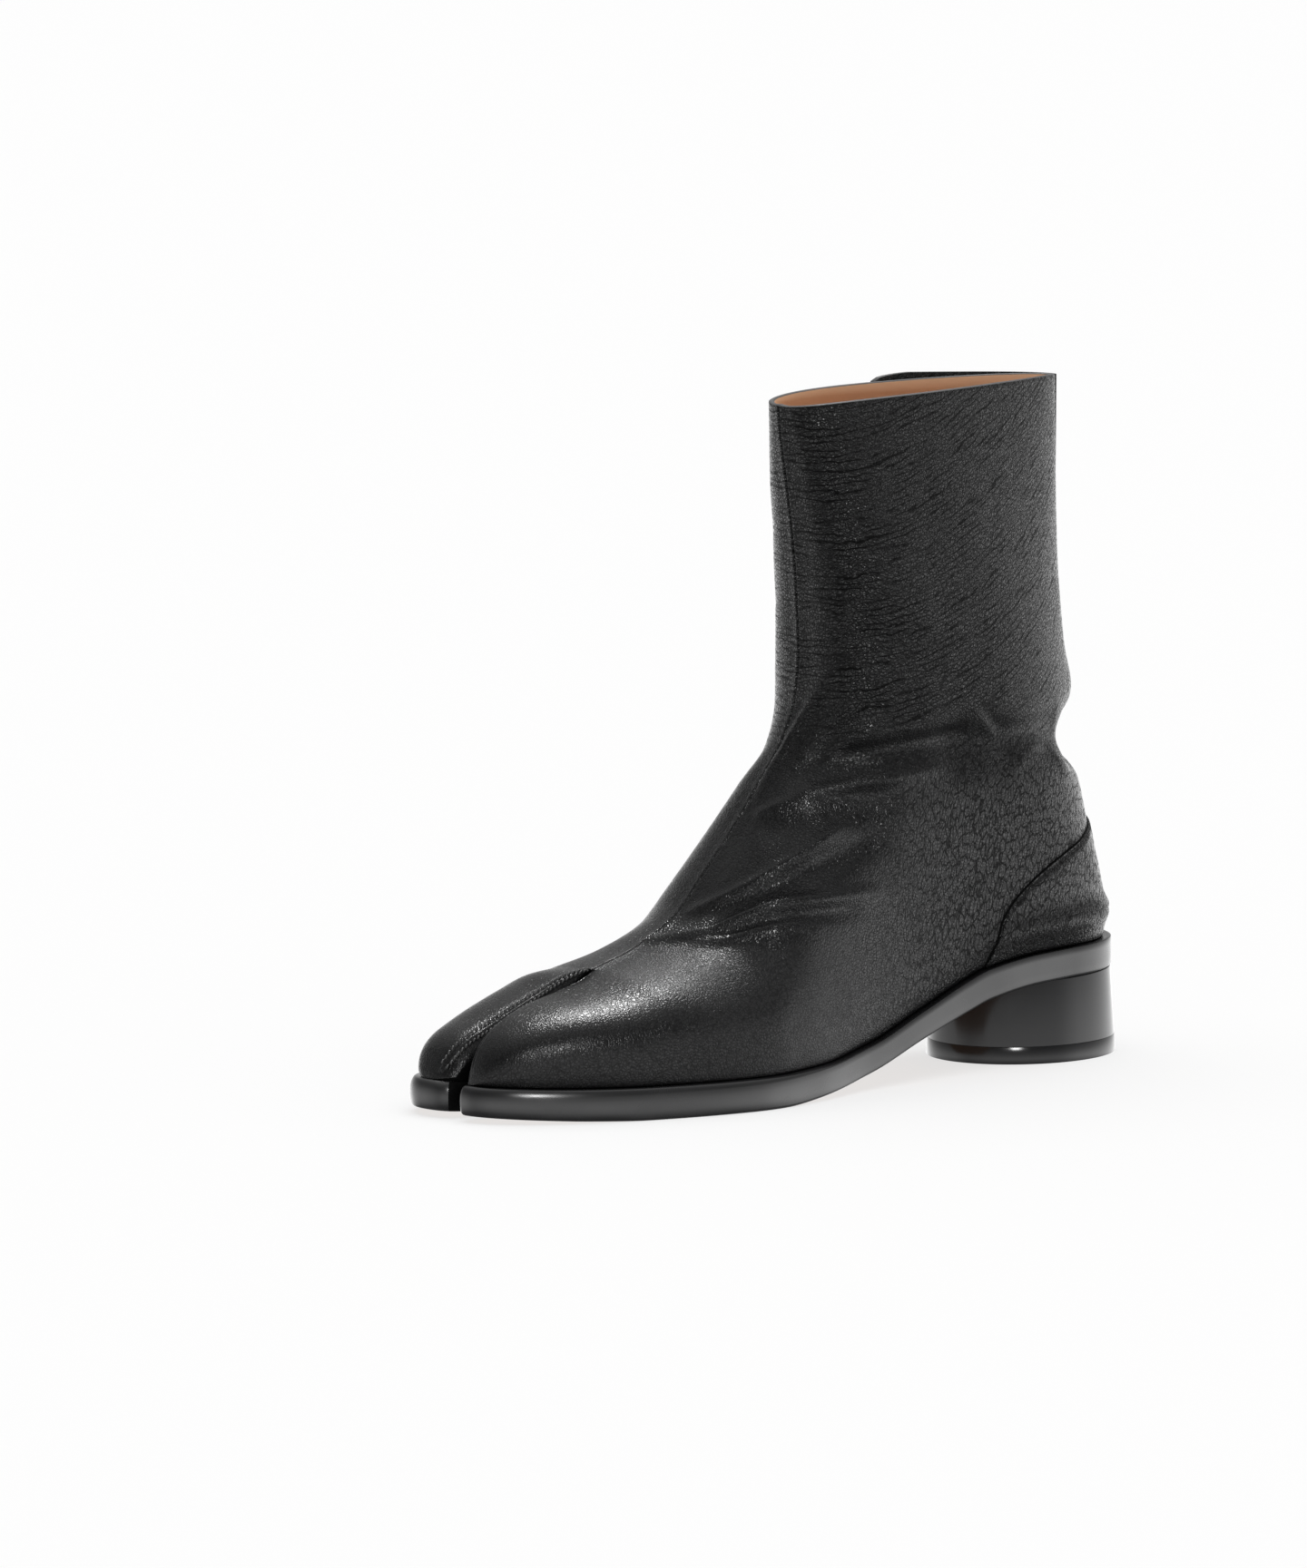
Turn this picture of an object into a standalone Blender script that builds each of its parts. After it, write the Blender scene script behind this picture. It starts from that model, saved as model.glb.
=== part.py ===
"""Left split-toe ankle boot: one hollow leather upper on a leather sole and a round heel.

Sizes are in millimetres. The boot is drawn with the back of its heel at x = 0, the toes along
+x, the outer (little toe) side along +y and the floor at z = 0. An empty then carries all the
pieces so that the boot is centred over the origin."""

import bisect
import math

import bmesh
import bpy

MM = 0.001

# Clearance between pieces that meet, and thickness of the leather
FIT = 0.3
WALL = 2.0

# Sole outline
HEEL_CENTRE = 35.0
HEEL_DEPTH = 33.0
HEEL_HALF = 29.6
LATERAL_BALL_X = 190.0
LATERAL_BALL = 47.6
LATERAL_TIP_X = 288.6
LATERAL_TIP_Y = -1.0
LATERAL_POWERS = (1.5, 1.8)
MEDIAL_BALL_X = 212.0
MEDIAL_BALL = 46.0
MEDIAL_TIP_X = 290.0
MEDIAL_TIP_Y = -22.0
MEDIAL_POWERS = (3.5, 2.0)

# Half widths of the sole between heel and ball: x, lateral, medial
WAIST = (
    (35.0, 29.6, 29.6),
    (52.0, 30.4, 29.6),
    (82.0, 31.2, 28.4),
    (107.0, 33.0, 28.0),
    (133.0, 36.0, 30.6),
    (165.0, 44.2, 39.0),
    (190.0, 47.6, 44.6),
    (212.0, 47.6, 46.0),
)

# Sole seen from the side: x, top edge, underside
SOLE_LEVELS = (
    (0.0, 40.8, 30.2),
    (18.0, 40.6, 30.0),
    (52.0, 39.4, 28.7),
    (75.0, 36.4, 25.4),
    (84.0, 33.6, 22.6),
    (107.0, 25.0, 15.0),
    (133.0, 15.9, 6.2),
    (158.0, 12.2, 1.9),
    (182.0, 11.4, 0.0),
    (236.0, 11.5, 0.0),
    (256.0, 11.8, 0.6),
    (272.0, 12.2, 1.4),
    (290.0, 12.8, 2.4),
)

# Split between the big toe and the other toes
NOTCH_X = 226.0
SLOT_Y = -7.0
SLOT_ROUND = 26.0
# Half gap of the split in the sole: x, half gap
SLOT_GAP = (
    (226.0, 1.2),
    (236.0, 1.0),
    (250.0, 0.9),
    (266.0, 1.4),
    (290.0, 3.0),
)

# Setback of the upper from the sole edge, and how far it turns in at the sole
LEDGE = 1.2
TOE_LEDGE = 2.8
SLOT_LEDGE = 0.5
TURN_IN = 2.2

# Top of the toes seen from the side: x, lateral top, medial top
TOE_TOPS = (
    (225.5, 46.6, 46.6),
    (234.0, 43.6, 45.2),
    (244.0, 41.2, 41.2),
    (256.0, 38.8, 36.2),
    (266.0, 35.6, 31.8),
    (275.0, 31.0, 27.8),
    (280.0, 26.6, 24.0),
    (283.4, 21.6, 18.8),
    (285.2, 16.6, 15.6),
    (286.0, 13.0, 13.0),
)

# Roll of each lobe into the split: x, lateral across, lateral down, medial across, medial down
SLOT_ROLL = (
    (225.5, 0.5, 0.5, 0.5, 0.5),
    (236.0, 2.0, 1.8, 4.0, 3.4),
    (250.0, 2.4, 2.4, 8.0, 6.6),
    (270.0, 3.0, 3.4, 10.0, 9.0),
    (285.0, 3.0, 5.0, 9.0, 8.0),
)

# Half width of the flat band that carries the front seam: section number, half width
SEAM_BAND = (
    (0.0, 2.2),
    (2.0, 2.0),
    (6.0, 1.5),
    (18.0, 1.5),
)

# Back of the boot seen from the side: z, x
BACK_LINE = (
    (41.0, 6.4),
    (47.0, 5.2),
    (55.0, 6.8),
    (66.0, 9.6),
    (80.0, 12.2),
    (96.0, 15.0),
    (112.0, 17.0),
    (130.0, 18.0),
    (150.0, 19.4),
    (174.5, 20.6),
    (217.0, 20.2),
    (239.0, 20.0),
)

# Roll of the heel over the sole edge: out, height above the sole, spread, x where it fades out
HEEL_ROLL = (2.8, 9.6, 4.4, 45.0, 95.0)

# Soft folds pressed in (minus) or out round the ankle, measured from the upright line AXIS_X:
# start x, y, z, end x, y, z, spread, depth
AXIS_X = 72.0
FOLDS = (
    (22.0, -15.0, 111.0, 22.0, 17.0, 112.0, 8.0, -13.0),
    (30.0, 24.0, 114.0, 90.0, 34.0, 114.0, 8.0, -2.8),
    (90.0, 34.0, 114.0, 142.0, 24.0, 106.0, 9.0, -1.8),
    (30.0, -24.0, 113.0, 90.0, -34.0, 112.0, 8.0, -2.4),
    (16.0, -12.0, 130.0, 16.0, 12.0, 131.0, 9.0, 2.2),
)

# Sections of the upper from the end of the split back over the heel and up to the collar.
# Each runs from the front seam to the sole edge, or to the back line once past the heel:
# number, seam x, seam y, seam z, distance along sole edge and back line, lateral half width,
# medial half width, place of the widest point, power above it on the medial side, power below it,
# power above it on the lateral side
SECTIONS = (
    (0.0, 225.5, -6.6, 46.6, 0.0, 39.9, 43.7, 0.66, 2.7, 2.0, 2.7),
    (1.0, 207.0, -6.4, 52.2, 19.0, 44.2, 44.3, 0.68, 2.2, 2.0, 2.2),
    (2.0, 187.4, -6.0, 62.8, 40.0, 46.0, 43.2, 0.70, 1.9, 2.0, 1.9),
    (3.0, 175.8, -5.0, 76.0, 60.0, 43.0, 38.6, 0.72, 2.3, 2.0, 2.3),
    (4.0, 163.0, -4.0, 91.0, 80.0, 38.6, 34.8, 0.70, 2.6, 2.0, 2.6),
    (5.0, 151.4, -3.0, 107.0, 101.0, 35.6, 33.0, 0.66, 2.4, 2.0, 2.5),
    (6.0, 142.0, -2.0, 121.0, 123.0, 34.0, 32.2, 0.62, 2.0, 2.0, 2.4),
    (7.0, 137.6, -1.0, 135.0, 150.0, 33.6, 33.0, 0.58, 2.1, 2.0, 2.7),
    (8.0, 136.8, 0.0, 150.0, 190.5, 33.0, 33.2, 0.56, 2.6, 2.0, 3.1),
    (9.0, 137.0, 0.0, 158.0, 211.7, 32.8, 33.2, 0.56, 2.7, 2.1, 3.3),
    (10.0, 137.4, 0.0, 165.0, 233.6, 32.6, 33.0, 0.56, 2.7, 2.2, 3.4),
    (11.0, 137.8, 0.0, 172.0, 240.6, 32.4, 33.0, 0.55, 2.6, 2.3, 3.4),
    (12.0, 138.4, 0.0, 180.0, 254.6, 32.2, 32.6, 0.53, 2.6, 2.25, 3.4),
    (13.0, 139.4, 0.0, 190.0, 276.6, 31.8, 32.0, 0.51, 2.5, 2.1, 3.4),
    (14.0, 140.4, 0.0, 198.0, 299.1, 31.0, 31.0, 0.50, 2.4, 2.0, 3.3),
    (15.0, 141.6, 0.0, 206.0, 320.6, 29.8, 29.8, 0.48, 2.4, 1.9, 3.2),
    (16.0, 143.6, 0.0, 218.6, 362.8, 26.4, 26.4, 0.43, 2.3, 1.8, 3.2),
    (17.0, 145.4, 0.0, 230.4, 407.4, 22.0, 22.0, 0.37, 2.2, 1.65, 3.1),
    (18.0, 146.0, 0.0, 238.2, 430.6, 20.0, 20.0, 0.34, 2.2, 1.55, 3.1),
)
OPEN_SECTIONS = 10.0
COLLAR = 18.0

# Rise of the sides of the shaft towards the collar: section number, lateral, medial
COLLAR_RISE = (
    (14.0, 0.0, 0.0),
    (18.0, 2.2, 1.2),
)

# Softening of the sections where they turn from the sole edge up the back line:
# distance that is averaged, distance over which this fades, samples each way
HEEL_SOFT = (34.0, 90.0, 4)

# Heel counter seen from the side: x, height of its upper edge
COUNTER_EDGE = (
    (13.2, 84.0),
    (22.0, 80.6),
    (41.0, 74.0),
    (60.0, 64.0),
    (70.0, 54.0),
    (76.0, 38.0),
)
COUNTER_FIRST = 7.0
COUNTER_LAST = 13.0
COUNTER_WALL = 0.9
COUNTER_FIT = 0.5
COUNTER_END_STEPS = 4

# Back flap over the hidden closure, on the medial side: z, x of its free edge
FLAP_EDGE = (
    (128.0, 30.0),
    (139.0, 60.0),
    (165.0, 70.0),
    (238.0, 86.0),
    (250.0, 88.0),
)
FLAP_FIRST = 15.0
FLAP_WALL = 2.2
FLAP_BACK_WALL = 0.8
FLAP_RISE = 3.2
FLAP_BACK_RISE = 0.2
FLAP_COLUMNS = 14

# Insole, heel and its walking lift
INSOLE_THICK = 2.4
INSOLE_FIT = 1.6
EDGE_ROUND = 1.2
HEEL_TOP = (32.8, 29.2)
HEEL_BASE = (34.6, 30.4)
LIFT_TOP = 6.0
LIFT_GROW = 0.4

# Mesh steps
FRONT_STEPS = 7
REAR_STEPS = 7
ROLL_STEPS = 3
WALL_STEPS = 2
SECTION_STEP = 0.5
HEEL_STEP = 0.25
HEEL_SECTIONS = (7.0, 15.5)
LOBE_ROWS = 9
HEEL_ROWS = 7
WAIST_ROWS = 20
OVAL_ROWS = 20
MERGE = 1e-7

COLOURS = {
    "upper_leather": ((0.012, 0.012, 0.013, 1.0), 0.38),
    "sole_edge": ((0.02, 0.02, 0.021, 1.0), 0.3),
    "heel_stack": ((0.02, 0.02, 0.021, 1.0), 0.34),
    "lift_rubber": ((0.014, 0.014, 0.014, 1.0), 0.6),
    "insole_leather": ((0.48, 0.23, 0.11, 1.0), 0.55),
}


def curve(table, column, at):
    """Smooth curve without overshoot through one column of a table."""
    places = [row[0] for row in table]
    values = [row[column] for row in table]
    if at <= places[0]:
        return values[0]
    if at >= places[-1]:
        return values[-1]
    steps = [b - a for a, b in zip(places, places[1:])]
    slopes = [(b - a) / step for a, b, step in zip(values, values[1:], steps)]

    def tangent(k):
        if k == 0:
            return slopes[0]
        if k == len(slopes):
            return slopes[-1]
        if slopes[k - 1] * slopes[k] <= 0.0:
            return 0.0
        return 2.0 * slopes[k - 1] * slopes[k] / (slopes[k - 1] + slopes[k])

    k = bisect.bisect_right(places, at) - 1
    t = (at - places[k]) / steps[k]
    rise = t * t * (3.0 - 2.0 * t)
    return (
        values[k] * (1.0 - rise)
        + values[k + 1] * rise
        + steps[k] * tangent(k) * t * (1.0 - t) ** 2
        - steps[k] * tangent(k + 1) * t * t * (1.0 - t)
    )


def sole_top(x):
    return curve(SOLE_LEVELS, 1, x)


def sole_under(x):
    return curve(SOLE_LEVELS, 2, x)


def round_off(s, powers):
    """Falls from 1 at s = 0 to 0 at s = 1 like a quarter oval."""
    inside = 1.0 - min(max(s, 0.0), 1.0) ** powers[0]
    return max(inside, 0.0) ** (1.0 / powers[1])


def lateral_edge(x, inset):
    if x <= LATERAL_BALL_X:
        return curve(WAIST, 1, x) - inset
    s = (x - LATERAL_BALL_X) / (LATERAL_TIP_X - inset - LATERAL_BALL_X)
    return LATERAL_TIP_Y + (LATERAL_BALL - inset - LATERAL_TIP_Y) * round_off(s, LATERAL_POWERS)


def medial_edge(x, inset):
    if x <= MEDIAL_BALL_X:
        return -curve(WAIST, 2, x) + inset
    s = (x - MEDIAL_BALL_X) / (MEDIAL_TIP_X - inset - MEDIAL_BALL_X)
    return MEDIAL_TIP_Y - (MEDIAL_BALL - inset + MEDIAL_TIP_Y) * round_off(s, MEDIAL_POWERS)


def slot_edge(side, x, inset, slot_inset):
    """Edge of a lobe along the split, curving round to the tip of its toe."""
    tip_x = (LATERAL_TIP_X if side > 0 else MEDIAL_TIP_X) - inset
    tip_y = LATERAL_TIP_Y if side > 0 else MEDIAL_TIP_Y
    notch = NOTCH_X - slot_inset
    straight = SLOT_Y + side * (curve(SLOT_GAP, 1, x) + slot_inset)
    s = (x - notch) / (tip_x - notch)
    return tip_y + (straight - tip_y) * round_off(s, (SLOT_ROUND, 2.0))


def lobe_x(side, w, inset, slot_inset):
    """Place along a lobe, from the end of the split at w = 0 to the tip at w = 1."""
    tip_x = (LATERAL_TIP_X if side > 0 else MEDIAL_TIP_X) - inset
    notch = NOTCH_X - slot_inset
    return notch + (tip_x - notch) * math.sin(0.5 * math.pi * w)


class Pieces:
    """Faces of one solid, gathered as strips of points."""

    def __init__(self):
        self.points = []
        self.faces = []

    def face(self, corners):
        start = len(self.points)
        self.points.extend(corners)
        self.faces.append(tuple(range(start, start + len(corners))))

    def strips(self, rows, closed=False):
        for row, after in zip(rows, rows[1:]):
            count = len(row) if closed else len(row) - 1
            for k in range(count):
                n = (k + 1) % len(row)
                self.face([row[k], row[n], after[n], after[k]])


def make_object(name, pieces, colour, parent):
    mesh = bpy.data.meshes.new(name)
    points = [(x * MM, y * MM, z * MM) for x, y, z in pieces.points]
    mesh.from_pydata(points, [], pieces.faces)
    shape = bmesh.new()
    shape.from_mesh(mesh)
    bmesh.ops.remove_doubles(shape, verts=shape.verts, dist=MERGE)
    bmesh.ops.recalc_face_normals(shape, faces=shape.faces)
    shape.to_mesh(mesh)
    shape.free()
    mesh.update()
    thing = bpy.data.objects.new(name, mesh)
    bpy.context.scene.collection.objects.link(thing)
    thing.parent = parent
    material = bpy.data.materials.get(colour)
    if material is None:
        material = bpy.data.materials.new(colour)
        material.use_nodes = True
        shader = material.node_tree.nodes["Principled BSDF"]
        shader.inputs["Base Color"].default_value = COLOURS[colour][0]
        shader.inputs["Roughness"].default_value = COLOURS[colour][1]
    mesh.materials.append(material)
    return thing


def base_point(run, skin):
    """Lower end of a section: x, z, lateral y and medial y, by distance from the split."""
    inset = LEDGE + TURN_IN + skin
    start = NOTCH_X - SLOT_LEDGE
    if run <= start - HEEL_CENTRE:
        x = start - run
        return x, sole_top(x) + FIT, lateral_edge(x, inset), medial_edge(x, inset)
    depth = HEEL_CENTRE - BACK_LINE[0][1]
    half = HEEL_HALF - LEDGE - TURN_IN
    turn = (run - start + HEEL_CENTRE) / (0.5 * (depth + half))
    if turn < 0.5 * math.pi:
        x = HEEL_CENTRE - (depth - skin) * math.sin(turn)
        y = (half - skin) * math.cos(turn)
        return x, sole_top(x) + FIT, y, -y
    z = BACK_LINE[0][0] + (turn - 0.5 * math.pi) * 0.5 * (depth + half)
    return curve(BACK_LINE, 1, z) + skin, z, 0.0, 0.0


def soft_base(run, skin):
    """Lower end of a section averaged along the line, so the heel has no crease up its side."""
    reach, fade, samples = HEEL_SOFT
    corner = curve(SECTIONS, 4, OPEN_SECTIONS)
    step = reach * max(1.0 - abs(run - corner) / fade, 0.0) / samples
    points = [base_point(run + step * k, skin) for k in range(-samples, samples + 1)]
    return [sum(point[part] for point in points) / len(points) for part in range(4)]


def section(u, skin=0.0):
    """All sizes of one section of the upper behind the split, set in by the skin."""
    values = [curve(SECTIONS, column, u) for column in range(1, len(SECTIONS[0]))]
    seam_x, seam_y, seam_z, run, lateral, medial, widest, above, below, flat = values
    back = skin * max(1.0 - 0.5 * u, 0.0)
    base_x, base_z, base_l, base_m = base_point(run + back, skin)
    soft_x, soft_z, soft_l, soft_m = soft_base(run + back, skin)
    seam_x -= back
    reach = math.hypot(base_x - seam_x, base_z - seam_z)
    return {
        "seam": (
            seam_x + skin * (base_x - seam_x) / reach,
            seam_y,
            seam_z + skin * (base_z - seam_z) / reach,
        ),
        "base": (base_x, base_z),
        "soft": (soft_x, soft_z),
        "band": curve(SEAM_BAND, 1, u),
        "half": {1: lateral - skin, -1: skin - medial},
        "foot": {1: base_l, -1: base_m},
        "soft_foot": {1: soft_l, -1: soft_m},
        "widest": widest,
        "powers": {1: (flat, below), -1: (above, below)},
        "rise": {1: curve(COLLAR_RISE, 1, u), -1: curve(COLLAR_RISE, 2, u)},
    }


def folded(point):
    """A point of the plain upper moved by the heel roll and the folds."""
    x, y, z = point
    out, height, spread, full, none = HEEL_ROLL
    off = (z - sole_top(x) - height) / spread
    fade = min(max((none - x) / (none - full), 0.0), 1.0)
    move = out * math.exp(-off * off) * fade * fade * (3.0 - 2.0 * fade)
    for x0, y0, z0, x1, y1, z1, width, depth in FOLDS:
        along = (x1 - x0, y1 - y0, z1 - z0)
        length = sum(part * part for part in along)
        t = ((x - x0) * along[0] + (y - y0) * along[1] + (z - z0) * along[2]) / length
        t = min(max(t, 0.0), 1.0)
        gap = math.dist(point, (x0 + t * along[0], y0 + t * along[1], z0 + t * along[2]))
        move += depth * math.exp(-(gap / width) ** 2)
    away = (x - AXIS_X, 1.6 * y)
    size = math.hypot(*away) or 1.0
    return (x + move * away[0] / size, y + move * away[1] / size, z)


def arch(row, side, v):
    """Point of a section: v = 0 at the seam band, 0.5 at the widest place, 1 at the base."""
    seam_x, seam_y, seam_z = row["seam"]
    sharp = max(2.0 * v - 1.0, 0.0) ** 3
    base_x, base_z = (a + (b - a) * sharp for a, b in zip(row["soft"], row["base"]))
    top_y = seam_y + side * row["band"]
    half = row["half"][side]
    foot = row["soft_foot"][side] + (row["foot"][side] - row["soft_foot"][side]) * sharp
    if v <= 0.5:
        power = 2.0 / row["powers"][side][0]
        turn = math.pi * v
        along = row["widest"] * (1.0 - max(math.cos(turn), 0.0) ** power)
        y = top_y + (half - top_y) * math.sin(turn) ** power
    else:
        power = 2.0 / row["powers"][side][1]
        turn = math.pi * (v - 0.5)
        along = row["widest"] + (1.0 - row["widest"]) * math.sin(turn) ** power
        y = foot + (half - foot) * max(math.cos(turn), 0.0) ** power
    z = seam_z + along * (base_z - seam_z) + row["rise"][side] * math.sin(math.pi * v)
    return folded((seam_x + along * (base_x - seam_x), y, z))


def lobe_section(side, w, skin=0.0):
    """All sizes of one section across a toe lobe, set in by the skin."""
    first = section(0.0, skin)
    slot_inset = SLOT_LEDGE + skin
    notch = NOTCH_X - slot_inset
    x = lobe_x(side, w, TOE_LEDGE + skin, slot_inset)
    tip_x = lobe_x(side, 1.0, TOE_LEDGE + skin, slot_inset)
    edge = lateral_edge if side > 0 else medial_edge
    ledge = LEDGE + (TOE_LEDGE - LEDGE) * w * w + skin
    turn_in = TURN_IN * (1.0 - w ** 4)
    fade = (1.0 - w) ** 2
    half = edge(x, ledge) + fade * (first["half"][side] - edge(notch, LEDGE + skin))
    foot = edge(x, ledge + turn_in)
    foot += fade * (first["foot"][side] - edge(notch, LEDGE + skin + TURN_IN))
    wall_y = slot_edge(side, x, TOE_LEDGE + skin, slot_inset)
    if w == 1.0:
        half = wall_y
        foot = wall_y
    base_z = sole_top(x) + FIT
    column = 1 if side > 0 else 2
    roll = 1 if side > 0 else 3
    share = (x - notch) / (tip_x - notch)
    place = TOE_TOPS[0][0] + (TOE_TOPS[-1][0] - TOE_TOPS[0][0]) * share
    top_z = max(curve(TOE_TOPS, column, place) - skin * (1.0 - share ** 8), base_z)
    across = min(curve(SLOT_ROLL, roll, place), 0.5 * abs(half - wall_y))
    down = min(curve(SLOT_ROLL, roll + 1, place), top_z - base_z)
    top_y = wall_y + side * across
    if w == 0.0:
        top_y = first["seam"][1] + side * first["band"]
        top_z = first["seam"][2]
    return {
        "seam": (x, top_y, top_z),
        "base": (x, base_z),
        "soft": (x, base_z),
        "band": 0.0,
        "half": {side: half},
        "foot": {side: foot},
        "soft_foot": {side: foot},
        "widest": first["widest"],
        "powers": first["powers"],
        "rise": first["rise"],
        "wall": wall_y,
        "down": down,
    }


def slot_column(row, step):
    """Point on the split side of a lobe: over the roll, then down the wall to the sole."""
    x, top_y, top_z = row["seam"]
    base_z = row["base"][1]
    low = top_z - row["down"]
    if step <= ROLL_STEPS:
        turn = 0.5 * math.pi * step / ROLL_STEPS
        y = top_y + (row["wall"] - top_y) * math.sin(turn)
        return (x, y, low + row["down"] * math.cos(turn))
    fall = (step - ROLL_STEPS) / WALL_STEPS
    return (x, row["wall"], low + (base_z - low) * fall)


def arch_row(row, side):
    values = [0.5 * k / FRONT_STEPS for k in range(FRONT_STEPS)]
    values += [0.5 + 0.5 * k / REAR_STEPS for k in range(REAR_STEPS + 1)]
    return [arch(row, side, v) for v in values]


def section_places(first, last):
    """Numbers of the sections that carry mesh rows, closer together round the heel."""
    places = [first]
    while places[-1] < last:
        close = HEEL_SECTIONS[0] <= places[-1] < HEEL_SECTIONS[1]
        places.append(places[-1] + (HEEL_STEP if close else SECTION_STEP))
    return places


def skin_grid(pieces, skin):
    """One face of the upper's wall, and the lines round its two openings."""
    places = section_places(0.0, COLLAR)
    rows = [section(u, skin) for u in places]
    lateral = [arch_row(row, 1) for row in rows]
    medial = [arch_row(row, -1) for row in rows]
    pieces.strips(lateral)
    pieces.strips(medial)
    pieces.strips([[m[0], l[0]] for m, l in zip(medial, lateral)])
    closing = places.index(OPEN_SECTIONS) + 1
    lines = [
        lateral[-1] + medial[-1][::-1] + [lateral[-1][0]],
        [row[-1] for row in lateral[:closing]],
        [row[-1] for row in medial[:closing]],
    ]
    slot_steps = range(ROLL_STEPS + WALL_STEPS, 0, -1)
    ends = []
    for side in (1, -1):
        lobe = [lobe_section(side, w / LOBE_ROWS, skin) for w in range(LOBE_ROWS + 1)]
        strip = []
        for row in lobe:
            strip.append([slot_column(row, step) for step in slot_steps] + arch_row(row, side))
        tip = lobe[-1]
        strip[-1] = [(tip["base"][0], tip["wall"], tip["base"][1])] * len(strip[-1])
        pieces.strips(strip)
        ends.append(strip[0][: ROLL_STEPS + WALL_STEPS + 1])
        lines.append([row[0] for row in strip])
        lines.append([row[-1] for row in strip])
    pieces.strips(ends)
    lines.append([ends[0][0], ends[1][0]])
    return lines


def build_upper(parent):
    pieces = Pieces()
    outer = skin_grid(pieces, 0.0)
    inner = skin_grid(pieces, WALL)
    for line, within in zip(outer, inner):
        pieces.strips([line, within])
    return make_object("upper", pieces, "upper_leather", parent)


def plate_loops(inset, slot_inset, edge_round, top, under):
    """Cross loops of a sole plate: the one-piece rear part, then the two toe lobes."""
    notch = NOTCH_X - slot_inset
    stations = []
    for k in range(HEEL_ROWS):
        stations.append(("heel", 0.5 * math.pi * (1.0 - k / HEEL_ROWS)))
    for k in range(WAIST_ROWS + 1):
        stations.append(("waist", HEEL_CENTRE + (notch - HEEL_CENTRE) * k / WAIST_ROWS))

    def outline(kind, place, extra):
        if kind == "heel":
            x = HEEL_CENTRE - (HEEL_DEPTH - inset - extra) * math.sin(place)
            y = (HEEL_HALF - inset - extra) * math.cos(place)
            return x, y, -y
        return place, lateral_edge(place, inset + extra), medial_edge(place, inset + extra)

    def rim(outer, inner):
        """Four points from the top face over the edge to the underside."""
        x, y = outer
        xi, yi = inner
        return [
            (xi, yi, top(xi)),
            (x, y, top(x) - edge_round),
            (x, y, under(x) + edge_round),
            (xi, yi, under(xi)),
        ]

    middle = [SLOT_Y + side * (curve(SLOT_GAP, 1, notch) + slot_inset) for side in (1, -1)]
    rear = []
    for kind, place in stations:
        x, y_l, y_m = outline(kind, place, 0.0)
        xi, yi_l, yi_m = outline(kind, place, edge_round)
        left = rim((x, y_l), (xi, yi_l))
        right = rim((x, y_m), (xi, yi_m))
        reach = math.cos(place) if kind == "heel" else 1.0
        mid_l = middle[0] * reach
        mid_m = middle[1] * reach
        under_row = [(xi, mid_l, under(xi)), (xi, mid_m, under(xi))]
        top_row = [(xi, mid_m, top(xi)), (xi, mid_l, top(xi))]
        rear.append(left + under_row + right[::-1] + top_row)
    lobes = []
    for side in (1, -1):
        edge = lateral_edge if side > 0 else medial_edge
        loops = []
        for k in range(LOBE_ROWS + 1):
            w = k / LOBE_ROWS
            x = lobe_x(side, w, inset, slot_inset)
            xi = lobe_x(side, w, inset + edge_round, slot_inset)
            outer = rim((x, edge(x, inset)), (xi, edge(xi, inset + edge_round)))
            bevel = edge_round * min(1.0, 4.0 * w)
            slot = rim((x, slot_edge(side, x, inset, slot_inset)),
                       (xi, slot_edge(side, xi, inset + edge_round, slot_inset + bevel)))
            loops.append(outer + slot[::-1])
        lobes.append(loops)
    return rear, lobes


def build_plate(name, colour, parent, inset, slot_inset, edge_round, top, under):
    rear, lobes = plate_loops(inset, slot_inset, edge_round, top, under)
    pieces = Pieces()
    pieces.strips(rear, closed=True)
    for loops in lobes:
        pieces.strips(loops, closed=True)
    pieces.strips([lobes[0][0][4:], lobes[1][0][4:]])
    return make_object(name, pieces, colour, parent)


def build_oval(name, colour, parent, rings, top, under):
    """Round heel piece: an upper and a lower oval, with faces that follow x only."""
    (top_x, top_y), (base_x, base_y) = rings
    loops = []
    for k in range(OVAL_ROWS + 1):
        turn = math.pi * k / OVAL_ROWS
        xt = HEEL_CENTRE - top_x * math.cos(turn)
        yt = top_y * math.sin(turn)
        xb = HEEL_CENTRE - base_x * math.cos(turn)
        yb = base_y * math.sin(turn)
        loops.append([(xt, yt, top(xt)), (xb, yb, under), (xb, -yb, under), (xt, -yt, top(xt))])
    pieces = Pieces()
    pieces.strips(loops, closed=True)
    return make_object(name, pieces, colour, parent)


def cut_place(u, side, beyond):
    """Where a section crosses an edge drawn from the side: the first v past it."""
    row = section(u)
    low = 0.5
    high = 1.0
    for _ in range(30):
        middle = 0.5 * (low + high)
        if beyond(arch(row, side, middle)):
            high = middle
        else:
            low = middle
    return high


def counter_below(point):
    return point[2] < curve(COUNTER_EDGE, 1, point[0]) and point[0] < COUNTER_EDGE[-1][0]


def flap_behind(point):
    return point[0] < curve(FLAP_EDGE, 1, point[2])


def overlay_grid(rows, side, beyond, spread, skin_at):
    """Rows of points over the upper, from an edge drawn on its side to its base."""
    grid = []
    for u in rows:
        places = spread(cut_place(u, side, beyond))
        line = []
        for c, v in enumerate(places):
            row = section(u, -skin_at(c / (len(places) - 1)))
            line.append(arch(row, side, v))
        grid.append(line)
    return grid


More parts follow.
